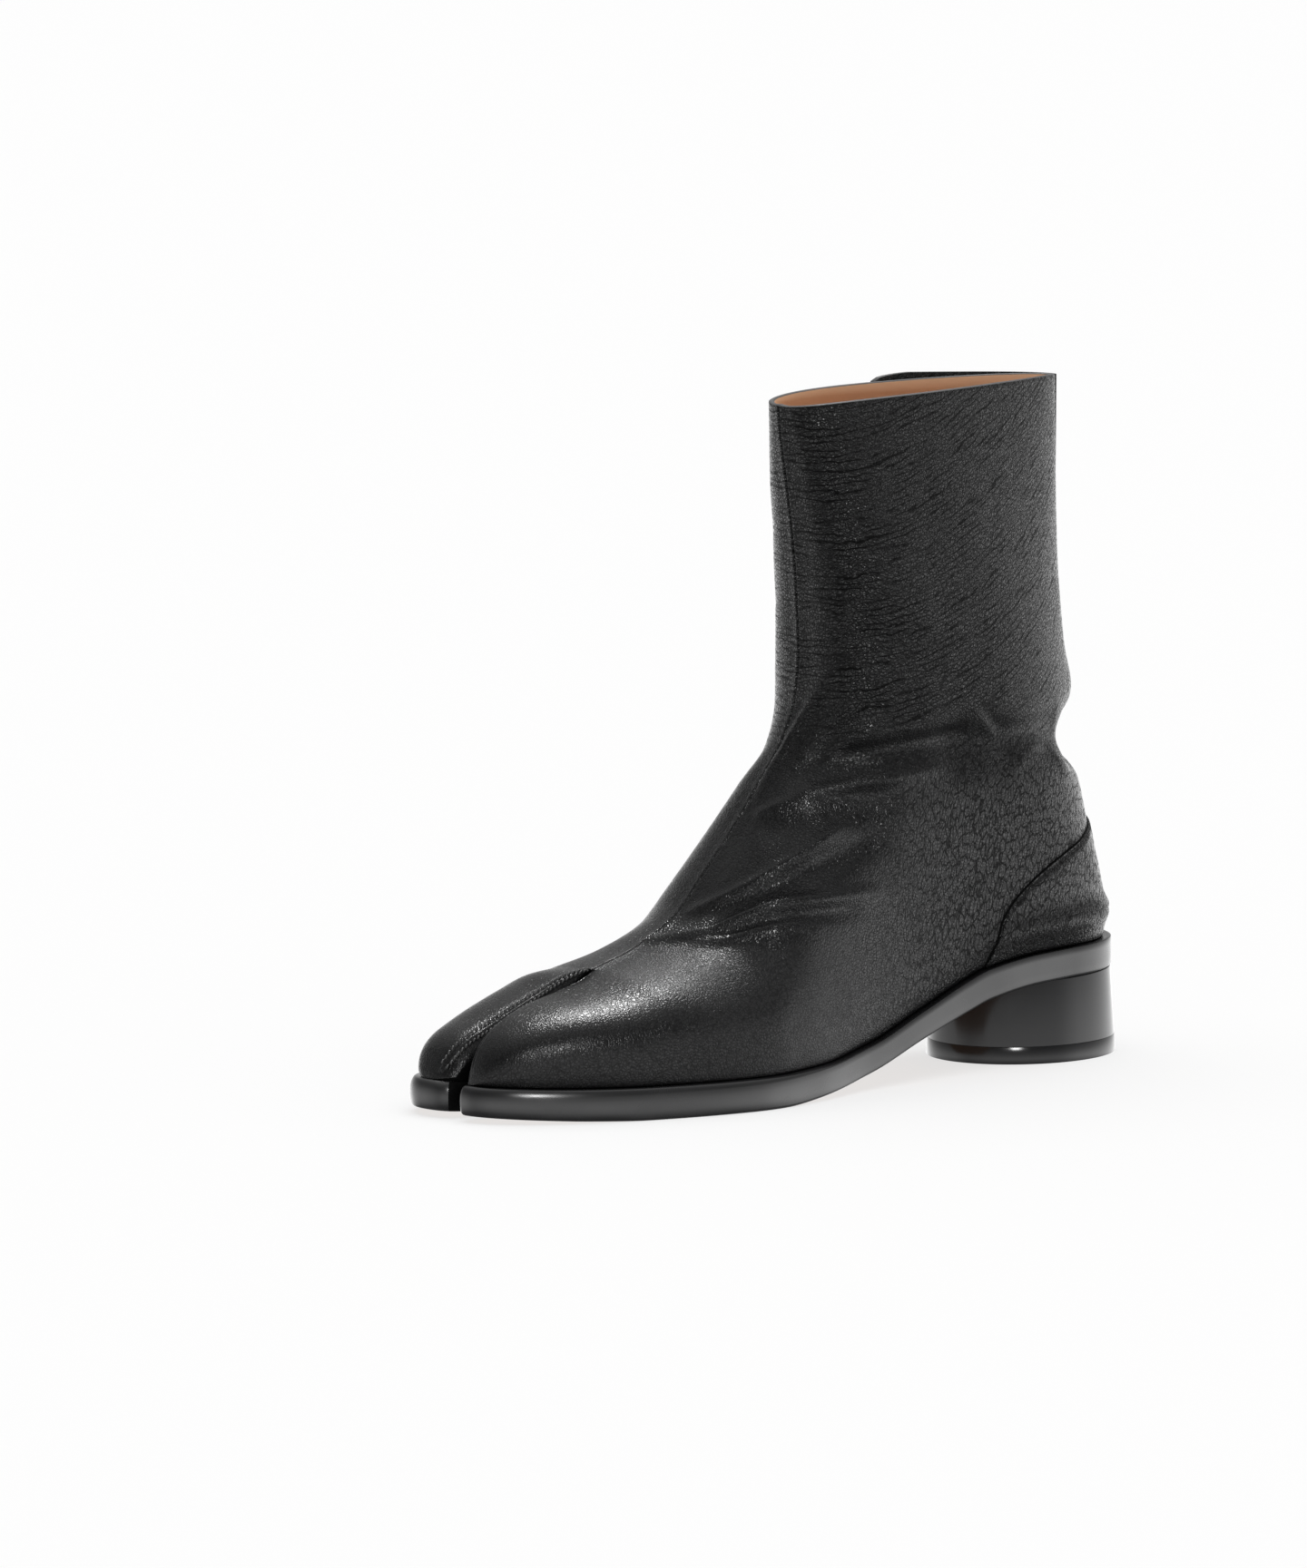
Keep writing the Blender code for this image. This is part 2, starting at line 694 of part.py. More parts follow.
def build_counter(parent):
    places = section_places(COUNTER_FIRST, COUNTER_LAST)
    rows = []
    for a, b in zip(places, places[1:]):
        parts = COUNTER_END_STEPS if a in (places[0], places[1], places[-2]) else 1
        rows += [a + (b - a) * k / parts for k in range(parts)]
    rows.append(places[-1])
    closing = rows.index(OPEN_SECTIONS) + 1

    def spread(start):
        """The upper's own columns, cut off at the edge."""
        return [max(start, 0.5 + 0.5 * k / REAR_STEPS) for k in range(REAR_STEPS + 1)]

    pieces = Pieces()
    faces = []
    for skin in (COUNTER_FIT, COUNTER_FIT + COUNTER_WALL):
        lines = []
        for side in (1, -1):
            grid = overlay_grid(rows, side, counter_below, spread, lambda share, out=skin: out)
            pieces.strips(grid)
            lines += [[row[0] for row in grid], grid[0], grid[-1]]
            lines.append([row[-1] for row in grid[:closing]])
        faces.append(lines)
    for line, outer in zip(*faces):
        pieces.strips([line, outer])
    return make_object("heel_counter", pieces, "upper_leather", parent)


def build_flap(parent):
    rows = section_places(FLAP_FIRST, COLLAR)

    def thick(share):
        return FIT + FLAP_WALL + (FLAP_BACK_WALL - FLAP_WALL) * share

    def spread(start):
        return [start + (1.0 - start) * c / FLAP_COLUMNS for c in range(FLAP_COLUMNS + 1)]

    pieces = Pieces()
    faces = []
    for skin_at in (lambda share: FIT, thick):
        grid = overlay_grid(rows, -1, flap_behind, spread, skin_at)
        top = []
        for c, (x, y, z) in enumerate(grid[-1]):
            top.append((x, y, z + FLAP_BACK_RISE + FLAP_RISE * (1.0 - c / FLAP_COLUMNS) ** 2))
        grid.append(top)
        pieces.strips(grid)
        faces.append([[row[0] for row in grid], [row[-1] for row in grid], grid[0], grid[-1]])
    for line, outer in zip(*faces):
        pieces.strips([line, outer])
    return make_object("closure_flap", pieces, "upper_leather", parent)


def clear_scene():
    for thing in list(bpy.data.objects):
        bpy.data.objects.remove(thing, do_unlink=True)


def main():
    clear_scene()
    boot = bpy.data.objects.new("boot", None)
    bpy.context.scene.collection.objects.link(boot)
    boot.location = (-0.5 * MEDIAL_TIP_X * MM, -0.5 * (LATERAL_BALL - MEDIAL_BALL) * MM, 0.0)
    build_upper(boot)
    build_counter(boot)
    build_flap(boot)
    build_plate("outsole", "sole_edge", boot, 0.0, 0.0, EDGE_ROUND, sole_top, sole_under)
    inset = LEDGE + TURN_IN + WALL + INSOLE_FIT
    build_plate("insole", "insole_leather", boot, inset, SLOT_LEDGE + WALL + INSOLE_FIT, 0.0,
                lambda x: sole_top(x) + FIT + INSOLE_THICK, lambda x: sole_top(x) + FIT)
    build_oval("heel_block", "heel_stack", boot, (HEEL_TOP, HEEL_BASE),
               lambda x: sole_under(x) - FIT, LIFT_TOP + FIT)
    lift = tuple(size + LIFT_GROW for size in HEEL_BASE)
    build_oval("heel_lift", "lift_rubber", boot, (HEEL_BASE, lift), lambda x: LIFT_TOP, 0.0)


main()
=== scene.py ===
"""Looks of the left split-toe ankle boot: leather, folds, seams, sole and heel, with light and camera.

Shapes are worked out in millimetres in the same frame as the solids: heel at x = 0, toes along +x,
outer side along +y, floor at z = 0. They are moved over the origin when the meshes are made."""

import bisect
import math

import bmesh
import bpy
import numpy as np
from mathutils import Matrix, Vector


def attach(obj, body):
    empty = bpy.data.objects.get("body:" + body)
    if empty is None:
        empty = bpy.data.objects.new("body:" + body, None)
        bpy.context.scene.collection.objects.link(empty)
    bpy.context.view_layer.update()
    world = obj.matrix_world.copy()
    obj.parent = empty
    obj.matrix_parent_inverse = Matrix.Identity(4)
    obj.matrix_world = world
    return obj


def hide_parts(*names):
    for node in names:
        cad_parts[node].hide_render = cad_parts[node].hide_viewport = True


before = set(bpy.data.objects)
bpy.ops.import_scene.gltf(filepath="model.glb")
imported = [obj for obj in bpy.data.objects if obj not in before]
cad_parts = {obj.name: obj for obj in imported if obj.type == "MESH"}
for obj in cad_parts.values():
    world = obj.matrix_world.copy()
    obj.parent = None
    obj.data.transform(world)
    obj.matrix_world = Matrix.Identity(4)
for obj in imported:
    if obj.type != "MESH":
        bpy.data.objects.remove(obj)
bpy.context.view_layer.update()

MM = 0.001

# Clearance between pieces that meet, and thickness of the leather
FIT = 0.3
WALL = 2.0

# Sole outline
HEEL_CENTRE = 35.0
HEEL_DEPTH = 33.0
HEEL_HALF = 29.6
# Ball and tip of the toes on the lateral (1) and medial (-1) side, and powers of the curve between them
BALL_X = {1: 190.0, -1: 212.0}
BALL = {1: 47.6, -1: 46.0}
TIP_X = {1: 288.6, -1: 290.0}
TIP_Y = {1: -1.0, -1: -22.0}
TOE_POWERS = {1: (1.5, 1.8), -1: (3.5, 2.0)}
# From the row's frame to the boot's own places
FRAME_SHIFT = np.array((0.5 * TIP_X[-1], 0.5 * (BALL[1] - BALL[-1]), 0.0))

# Half widths of the sole between heel and ball: x, lateral, medial
WAIST = (
    (35.0, 29.6, 29.6), (52.0, 30.4, 29.6), (82.0, 31.2, 28.4), (107.0, 33.0, 28.0),
    (133.0, 36.0, 30.6), (165.0, 44.2, 39.0), (190.0, 47.6, 44.6), (212.0, 47.6, 46.0),
)

# Sole seen from the side: x, top edge, underside
SOLE_LEVELS = (
    (0.0, 40.8, 30.2), (18.0, 40.6, 30.0), (52.0, 39.4, 28.7), (75.0, 36.4, 25.4),
    (84.0, 33.6, 22.6), (107.0, 25.0, 15.0), (133.0, 15.9, 6.2), (158.0, 12.2, 1.9),
    (182.0, 11.4, 0.0), (236.0, 11.5, 0.0), (256.0, 11.8, 0.6), (272.0, 12.2, 1.4),
    (290.0, 12.8, 2.4),
)

# Split between the big toe and the other toes
NOTCH_X = 226.0
SLOT_Y = -7.0
SLOT_POWERS = (26.0, 2.0)
# Half gap of the split in the sole: x, half gap
SLOT_GAP = ((226.0, 0.8), (236.0, 0.6), (250.0, 0.9), (266.0, 1.4), (290.0, 3.0))

# Setback of the upper from the sole edge, and how far it turns in at the sole
LEDGE = 1.2
TOE_LEDGE = 2.8
SLOT_LEDGE = 0.5
TURN_IN = 2.2
# Powers by which the turn-in, and the wall's depth at the top, fade out towards the tip of a toe
TURN_POWER = 4
SKIN_POWER = 8

# Top of the toes seen from the side: x, lateral top, medial top
TOE_TOPS = (
    (225.5, 46.6, 46.6), (234.0, 43.6, 45.2), (244.0, 41.2, 41.2), (256.0, 38.8, 36.2),
    (266.0, 35.6, 31.8), (275.0, 31.0, 27.8), (280.0, 26.6, 24.0), (283.4, 21.6, 18.8),
    (285.2, 16.6, 15.6), (286.0, 13.0, 13.0),
)

# Roll of each lobe into the split: x, lateral across, lateral down, medial across, medial down
SLOT_ROLL = (
    (225.5, 0.5, 0.5, 0.5, 0.5),
    (236.0, 2.0, 1.8, 5.6, 5.0),
    (250.0, 2.4, 2.4, 8.0, 6.6),
    (270.0, 3.0, 3.4, 10.0, 9.0),
    (285.0, 3.0, 5.0, 9.0, 8.0),
)

# Half width of the flat band that carries the front seam: section number, half width
SEAM_BAND = ((0.0, 2.2), (2.0, 2.0), (6.0, 1.5), (18.0, 1.5))

# Back of the boot seen from the side: z, x
BACK_LINE = (
    (41.0, 6.4), (47.0, 5.2), (55.0, 6.8), (66.0, 9.6), (80.0, 12.2), (96.0, 15.0), (112.0, 17.0),
    (130.0, 18.0), (150.0, 19.4), (174.5, 20.6), (217.0, 20.2), (239.0, 20.0),
)

# Roll of the heel over the sole edge: out, height above the sole, spread, x where it starts to fade and
# x where it ends
HEEL_ROLL = (2.8, 9.6, 4.4, 45.0, 95.0)

# Soft folds pressed in (minus) or out round the ankle, away from an upright line at AXIS_X and more
# to the sides: start x, y, z, end x, y, z, spread, depth
AXIS_X = 72.0
SIDE_PULL = 1.6
FOLDS = (
    (22.0, -15.0, 111.0, 22.0, 17.0, 112.0, 8.0, -13.0),
    (30.0, 24.0, 114.0, 90.0, 34.0, 114.0, 8.0, -2.8),
    (90.0, 34.0, 114.0, 142.0, 24.0, 106.0, 9.0, -1.8),
    (30.0, -24.0, 113.0, 90.0, -34.0, 112.0, 8.0, -2.4),
    (16.0, -12.0, 130.0, 16.0, 12.0, 131.0, 9.0, 2.2),
)

# Sections of the upper from the end of the split back over the heel and up to the collar.
# Each runs from the front seam to the sole edge, or to the back line once past the heel:
# number, seam x, seam y, seam z, distance along sole edge and back line, lateral half width,
# medial half width, place of the widest point, power above it on the medial side, power below it,
# power above it on the lateral side
SECTIONS = (
    (0.0, 225.5, -6.6, 46.6, 0.0, 39.9, 43.7, 0.66, 2.7, 2.0, 2.7),
    (1.0, 207.0, -6.4, 52.2, 19.0, 44.2, 44.3, 0.68, 2.2, 2.0, 2.2),
    (2.0, 187.4, -6.0, 62.8, 40.0, 46.0, 43.2, 0.70, 1.9, 2.0, 1.9),
    (3.0, 175.8, -5.0, 76.0, 60.0, 43.0, 38.6, 0.72, 2.3, 2.0, 2.3),
    (4.0, 163.0, -4.0, 91.0, 80.0, 38.6, 34.8, 0.70, 2.6, 2.0, 2.6),
    (5.0, 151.4, -3.0, 107.0, 101.0, 35.6, 33.0, 0.66, 2.4, 2.0, 2.5),
    (6.0, 142.0, -2.0, 121.0, 123.0, 34.0, 32.2, 0.62, 2.0, 2.0, 2.4),
    (7.0, 137.6, -1.0, 135.0, 150.0, 33.6, 33.0, 0.58, 2.1, 2.0, 2.7),
    (8.0, 136.8, 0.0, 150.0, 190.5, 33.0, 33.2, 0.56, 2.6, 2.0, 3.1),
    (9.0, 137.0, 0.0, 158.0, 211.7, 32.8, 33.2, 0.56, 2.7, 2.1, 3.3),
    (10.0, 137.4, 0.0, 165.0, 233.6, 32.6, 33.0, 0.56, 2.7, 2.2, 3.4),
    (11.0, 137.8, 0.0, 172.0, 240.6, 32.4, 33.0, 0.55, 2.6, 2.3, 3.4),
    (12.0, 138.4, 0.0, 180.0, 254.6, 32.2, 32.6, 0.53, 2.6, 2.25, 3.4),
    (13.0, 139.4, 0.0, 190.0, 276.6, 31.8, 32.0, 0.51, 2.5, 2.1, 3.4),
    (14.0, 140.4, 0.0, 198.0, 299.1, 31.0, 31.0, 0.50, 2.4, 2.0, 3.3),
    (15.0, 141.6, 0.0, 206.0, 320.6, 29.8, 29.8, 0.48, 2.4, 1.9, 3.2),
    (16.0, 143.6, 0.0, 218.6, 362.8, 26.4, 26.4, 0.43, 2.3, 1.8, 3.2),
    (17.0, 145.4, 0.0, 230.4, 407.4, 22.0, 22.0, 0.37, 2.2, 1.65, 3.1),
    (18.0, 146.0, 0.0, 238.2, 430.6, 20.0, 20.0, 0.34, 2.2, 1.55, 3.1),
)
# Sections over which the end of the split has its own wall, and numbers of the first section whose
# sides meet at the back, and of the collar
SPLIT_END = 2.0
OPEN_SECTIONS = 10.0
COLLAR = 18.0

# Rise of the sides of the shaft towards the collar: section number, lateral, medial
COLLAR_RISE = ((14.0, 0.0, 0.0), (18.0, 2.2, 1.2))

# Softening of the sections where they turn from the sole edge up the back line:
# distance that is averaged, distance over which this fades, samples each way
HEEL_SOFT = (34.0, 90.0, 4)
# Power by which a section comes back to its true base near its lower end
SHARP_POWER = 3

# Heel counter seen from the side: x, height of its upper edge
COUNTER_EDGE = ((13.2, 84.0), (22.0, 80.6), (41.0, 74.0), (60.0, 64.0), (70.0, 54.0), (76.0, 38.0))
COUNTER_FIRST = 7.0
COUNTER_LAST = 13.0
COUNTER_RISE = 1.1
COUNTER_SUNK = 0.2
# Number of times that the softened edge of the counter goes into the counter's depth
COUNTER_SOFT = 18.0
COUNTER_ROWS = 120
COUNTER_COLUMNS = 50
# Power that crowds the columns at the edge
COUNTER_CROWD = 1.5

# Back flap over the hidden closure, on the medial side: z, x of its free edge
FLAP_EDGE = ((128.0, 30.0), (139.0, 60.0), (165.0, 70.0), (238.0, 86.0), (250.0, 88.0))
FLAP_FIRST = 15.0
FLAP_WALL = 2.2
FLAP_BACK_WALL = 0.8
FLAP_RISE = 3.2
FLAP_BACK_RISE = 0.2
FLAP_ROWS = 90
FLAP_COLUMNS = 40
# Columns over which the flap's top corner is rounded
FLAP_CORNER = 6

# Insole, heel and its walking lift
INSOLE_THICK = 2.4
INSOLE_FIT = 1.6
EDGE_ROUND = 1.2
INSOLE_ROUND = 0.6
# Largest share of the edge's height that its top rounding takes, and the share of a lobe over which
# the rounding along the split grows
EDGE_LIMIT = 0.4
BEVEL_SHARE = 0.25
# Height of the rounding at the top of the sole edge, and bulge of the edge: x, height, bulge
EDGE_SHAPE = ((60.0, 0.3, 0.0), (140.0, 0.4, 0.1), (190.0, 2.0, 0.5), (290.0, 3.0, 0.7))
HEEL_TOP = (32.8, 29.2)
HEEL_BASE = (34.6, 30.4)
LIFT_TOP = 6.0
LIFT_GROW = 0.4
# Side of the heel pieces: share of the height from the top, inset of the softened edges
HEEL_SIDE = ((0.0, 0.08), (0.004, 0.02), (0.01, 0.0), (0.5, 0.0), (0.99, 0.0), (0.996, 0.02), (1.0, 0.08))

# Creases of the worn leather, each a smooth line through a start, a middle and an end:
# x, y, z of the three, width, height (minus is a trough)
CREASES = (
    (143.0, 13.0, 113.5, 111.5, 29.0, 119.0, 38.0, 24.0, 120.5, 5.0, -4.0),
    (149.0, 11.0, 106.0, 139.2, 15.1, 118.8, 122.0, 27.5, 133.0, 3.4, -2.2),
    (88.0, 29.5, 125.0, 118.0, 28.5, 123.5, 142.0, 12.0, 118.0, 3.0, 1.6),
    (150.0, 14.0, 103.5, 130.7, 27.2, 107.4, 96.0, 33.0, 109.5, 2.4, 2.6),
    (159.5, 2.0, 95.5, 156.1, 10.6, 99.7, 147.0, 19.0, 103.6, 2.4, 1.3),
    (134.5, 12.5, 141.5, 143.0, 2.0, 121.0, 157.5, 0.5, 98.5, 2.2, 2.0),
    (118.0, 31.0, 99.0, 143.0, 25.0, 96.5, 163.0, 10.0, 89.0, 5.4, -1.8),
    (187.0, -3.0, 63.5, 168.4, 22.7, 79.1, 137.0, 29.0, 96.0, 2.3, 2.9),
    (186.0, 7.0, 65.0, 159.4, 26.8, 77.1, 124.0, 33.0, 90.5, 4.6, -3.2),
    (201.0, -8.0, 54.5, 179.9, 25.5, 66.8, 126.0, 36.0, 69.5, 2.3, 3.1),
    (191.0, 12.0, 58.5, 174.0, 32.5, 63.6, 138.0, 36.0, 64.5, 2.4, -1.4),
    (196.0, 11.0, 54.0, 181.2, 28.1, 60.5, 163.0, 37.0, 62.5, 1.9, 2.2),
    (66.0, 31.7, 104.0, 61.0, 30.7, 110.0, 46.5, 26.3, 114.0, 2.4, 0.9),
    (43.0, 25.1, 112.3, 39.5, 25.4, 105.6, 32.3, 23.3, 99.8, 2.4, 0.8),
    (46.0, -25.0, 119.0, 88.0, -31.0, 113.0, 128.0, -27.0, 111.0, 5.6, -2.6),
    (60.0, -30.0, 110.0, 98.0, -32.0, 104.0, 132.0, -28.0, 101.0, 5.0, 2.0),
    (110.0, -32.0, 97.0, 132.0, -30.0, 92.0, 150.0, -27.0, 87.0, 5.0, -1.6),
    (124.0, -33.0, 86.0, 148.0, -31.0, 80.0, 164.0, -28.0, 72.0, 4.2, 1.6),
    (130.0, -34.0, 76.0, 154.0, -33.0, 70.0, 174.0, -31.0, 62.0, 4.6, -1.4),
)

# How slowly a crease fades towards its ends, and how much wider its trough is in the lining
CREASE_FADE = 0.6
LINING_SPREAD = 4.0
# How much deeper the lining lies, the height from which it does, and the height over which this grows
LINING_SINK = 1.8
LINING_TOP = 225.0
LINING_FADE = 40.0

# Front seam: spread and height of its ridge, and of the groove along its middle
SEAM_PROFILE = ((2.2, 0.45), (0.4, -0.65))
# Lines along the split, by lobe: place over the roll, profile
SPLIT_LINES = {1: (0.2, ((0.3, -0.45),)), -1: (0.42, ((0.9, 0.7),))}
# Stitches: pitch, length, radius, slant against the line, and rows beside the ridge on the big-toe side
STITCH_PITCH = 1.9
STITCH_LENGTH = 2.1
STITCH_RADIUS = 0.42
STITCH_SLANT = 0.45
STITCH_ROWS = (0.3, 0.52)
STITCH_SIDES = 6
# Thickness along a stitch: power, square of the least share; rise of its middle as a share
STITCH_POWER = 4
STITCH_BLUNT = 0.02
STITCH_BOW = 0.6
# Painted shade: a dull black cord along the edge of the counter, put where the seam lies in shadow:
# radius, rise over the upper
COUNTER_SHADE_CORD = 0.4
CORD_RISE = 0.1

# Numbers of the materials on the faces of the upper, of the flap, and of the sole and heel pieces
LEATHER_FACES = 0
LINING_FACES = 1
# Painted shade: the split faces of the upper are dull black where the split lies in shadow
SPLIT_SHADE_FACES = 2
# Cut edges, lightened grey as a painted highlight of the light on the rim tops
CUT_HIGHLIGHT_FACES = 3
FLAP_CUT_HIGHLIGHT_FACES = 1
EDGE_FACES = 0
UNDER_FACES = 1
# Painted shade: the slot faces of the sole are dull black where the split lies in shadow
SLOT_SHADE_FACES = 2

# Mesh steps of the upper
ARCH_STEPS = 46
BAND_SHARES = (-0.6, -0.36, -0.2, -0.1, 0.0, 0.1, 0.2, 0.36, 0.6)
ROLL_STEPS = 18
# Steps of the roll on the big-toe side that are dull black, as painted shade where the split lies in
# shadow
SPLIT_SHADE_STEPS = 2
WALL_STEPS = 6
UPPER_ROWS = 216
LOBE_ROWS = 57
LINING_STEP = 3
RIM_STEPS = 5
RIM_LIFT = 0.4
# Steps along creases, the front seam and the split, and the part of the split that carries lines
PATH_STEPS = 24
SEAM_STEPS = 120
SPLIT_STEPS = 100
SPLIT_FIRST = 1
SPLIT_LAST = 84
# Step for directions, and halvings that find where a section crosses an edge
SMALL_STEP = 0.002
HALVINGS = 30
# Mesh steps of the sole and heel
HEEL_ROWS = 28
# Rows of a sole lobe that belong to the round of its tip
TIP_ROWS = 12
WAIST_ROWS = 70
EDGE_STEPS = 4
OVAL_STEPS = 96
# Distance in metres at which points are welded, and least square of a length
MERGE = 1e-7
TINY = 1e-9


def curve(table, column, at):
    """Smooth curve without overshoot through one column of a table."""
    places = [row[0] for row in table]
    values = [row[column] for row in table]
    if at <= places[0]:
        return values[0]
    if at >= places[-1]:
        return values[-1]
    steps = [b - a for a, b in zip(places, places[1:])]
    slopes = [(b - a) / step for a, b, step in zip(values, values[1:], steps)]

    def tangent(k):
        if k == 0:
            return slopes[0]
        if k == len(slopes):
            return slopes[-1]
        if slopes[k - 1] * slopes[k] <= 0.0:
            return 0.0
        return 2.0 * slopes[k - 1] * slopes[k] / (slopes[k - 1] + slopes[k])

    k = bisect.bisect_right(places, at) - 1
    t = (at - places[k]) / steps[k]
    rise = t * t * (3.0 - 2.0 * t)
    return (
        values[k] * (1.0 - rise)
        + values[k + 1] * rise
        + steps[k] * tangent(k) * t * (1.0 - t) ** 2
        - steps[k] * tangent(k + 1) * t * t * (1.0 - t)
    )


def sole_top(x):
    return curve(SOLE_LEVELS, 1, x)


def sole_under(x):
    return curve(SOLE_LEVELS, 2, x)


def round_off(s, powers):
    """Falls from 1 at s = 0 to 0 at s = 1 like a quarter oval."""
    inside = 1.0 - min(max(s, 0.0), 1.0) ** powers[0]
    return max(inside, 0.0) ** (1.0 / powers[1])


def outer_edge(side, x, inset):
    """Outer edge of the sole on one side, set in from its outline."""
    if x <= BALL_X[side]:
        return side * (curve(WAIST, 1 if side > 0 else 2, x) - inset)
    s = (x - BALL_X[side]) / (TIP_X[side] - inset - BALL_X[side])
    return TIP_Y[side] + (side * (BALL[side] - inset) - TIP_Y[side]) * round_off(s, TOE_POWERS[side])


def slot_edge(side, x, inset, slot_inset):
    """Edge of a lobe along the split, curving round to the tip of its toe."""
    notch = NOTCH_X - slot_inset
    straight = SLOT_Y + side * (curve(SLOT_GAP, 1, x) + slot_inset)
    s = (x - notch) / (TIP_X[side] - inset - notch)
    return TIP_Y[side] + (straight - TIP_Y[side]) * round_off(s, SLOT_POWERS)


def lobe_x(side, w, inset, slot_inset):
    """Place along a lobe, from the end of the split at w = 0 to the tip at w = 1."""
    notch = NOTCH_X - slot_inset
    return notch + (TIP_X[side] - inset - notch) * math.sin(0.5 * math.pi * w)


def base_point(run, skin):
    """Lower end of a section: x, z, lateral y and medial y, by distance from the split."""
    inset = LEDGE + TURN_IN + skin
    start = NOTCH_X - SLOT_LEDGE
    if run <= start - HEEL_CENTRE:
        x = start - run
        return x, sole_top(x) + FIT, outer_edge(1, x, inset), outer_edge(-1, x, inset)
    depth = HEEL_CENTRE - BACK_LINE[0][1]
    half = HEEL_HALF - LEDGE - TURN_IN
    turn = (run - start + HEEL_CENTRE) / (0.5 * (depth + half))
    if turn < 0.5 * math.pi:
        x = HEEL_CENTRE - (depth - skin) * math.sin(turn)
        y = (half - skin) * math.cos(turn)
        return x, sole_top(x) + FIT, y, -y
    z = BACK_LINE[0][0] + (turn - 0.5 * math.pi) * 0.5 * (depth + half)
    return curve(BACK_LINE, 1, z) + skin, z, 0.0, 0.0


def soft_base(run, skin):
    """Lower end of a section averaged along the line, so the heel has no crease up its side."""
    reach, fade, samples = HEEL_SOFT
    corner = curve(SECTIONS, 4, OPEN_SECTIONS)
    step = reach * max(1.0 - abs(run - corner) / fade, 0.0) / samples
    points = [base_point(run + step * k, skin) for k in range(-samples, samples + 1)]
    return [sum(parts) / len(points) for parts in zip(*points)]


def section(u, skin=0.0):
    """All sizes of one section of the upper behind the split, set in by the skin."""
    values = [curve(SECTIONS, column, u) for column in range(1, len(SECTIONS[0]))]
    seam_x, seam_y, seam_z, run, lateral, medial, widest, above, below, flat = values
    back = skin * max(1.0 - u / SPLIT_END, 0.0)
    base_x, base_z, base_l, base_m = base_point(run + back, skin)
    soft_x, soft_z, soft_l, soft_m = soft_base(run + back, skin)
    seam_x -= back
    reach = math.hypot(base_x - seam_x, base_z - seam_z)
    return {
        "seam": (
            seam_x + skin * (base_x - seam_x) / reach,
            seam_y,
            seam_z + skin * (base_z - seam_z) / reach,
        ),
        "base": (base_x, base_z),
        "soft": (soft_x, soft_z),
        "band": curve(SEAM_BAND, 1, u),
        "half": {1: lateral - skin, -1: skin - medial},
        "foot": {1: base_l, -1: base_m},
        "soft_foot": {1: soft_l, -1: soft_m},
        "widest": widest,
        "powers": {1: (flat, below), -1: (above, below)},
        "rise": {1: curve(COLLAR_RISE, 1, u), -1: curve(COLLAR_RISE, 2, u)},
    }


def folded(point):
    """A point of the plain upper moved by the heel roll and the folds."""
    x, y, z = point
    out, height, spread, full, none = HEEL_ROLL
    off = (z - sole_top(x) - height) / spread
    fade = min(max((none - x) / (none - full), 0.0), 1.0)
    move = out * math.exp(-off * off) * fade * fade * (3.0 - 2.0 * fade)
    for x0, y0, z0, x1, y1, z1, width, depth in FOLDS:
        along = (x1 - x0, y1 - y0, z1 - z0)
        length = sum(part * part for part in along)
        t = ((x - x0) * along[0] + (y - y0) * along[1] + (z - z0) * along[2]) / length
        t = min(max(t, 0.0), 1.0)
        gap = math.dist(point, (x0 + t * along[0], y0 + t * along[1], z0 + t * along[2]))
        move += depth * math.exp(-(gap / width) ** 2)
    away = (x - AXIS_X, SIDE_PULL * y)
    size = math.hypot(*away) or 1.0
    return (x + move * away[0] / size, y + move * away[1] / size, z)


def arch(row, side, v):
    """Point of a section: v = 0 at the seam band, 0.5 at the widest place, 1 at the base."""
    seam_x, seam_y, seam_z = row["seam"]
    sharp = max(2.0 * v - 1.0, 0.0) ** SHARP_POWER
    base_x, base_z = (a + (b - a) * sharp for a, b in zip(row["soft"], row["base"]))
    top_y = seam_y + side * row["band"]
    half = row["half"][side]
    foot = row["soft_foot"][side] + (row["foot"][side] - row["soft_foot"][side]) * sharp
    if v <= 0.5:
        power = 2.0 / row["powers"][side][0]
        turn = math.pi * v
        along = row["widest"] * (1.0 - max(math.cos(turn), 0.0) ** power)
        y = top_y + (half - top_y) * math.sin(turn) ** power
    else:
        power = 2.0 / row["powers"][side][1]
        turn = math.pi * (v - 0.5)
        along = row["widest"] + (1.0 - row["widest"]) * math.sin(turn) ** power
        y = foot + (half - foot) * max(math.cos(turn), 0.0) ** power
    z = seam_z + along * (base_z - seam_z) + row["rise"][side] * math.sin(math.pi * v)
    return folded((seam_x + along * (base_x - seam_x), y, z))


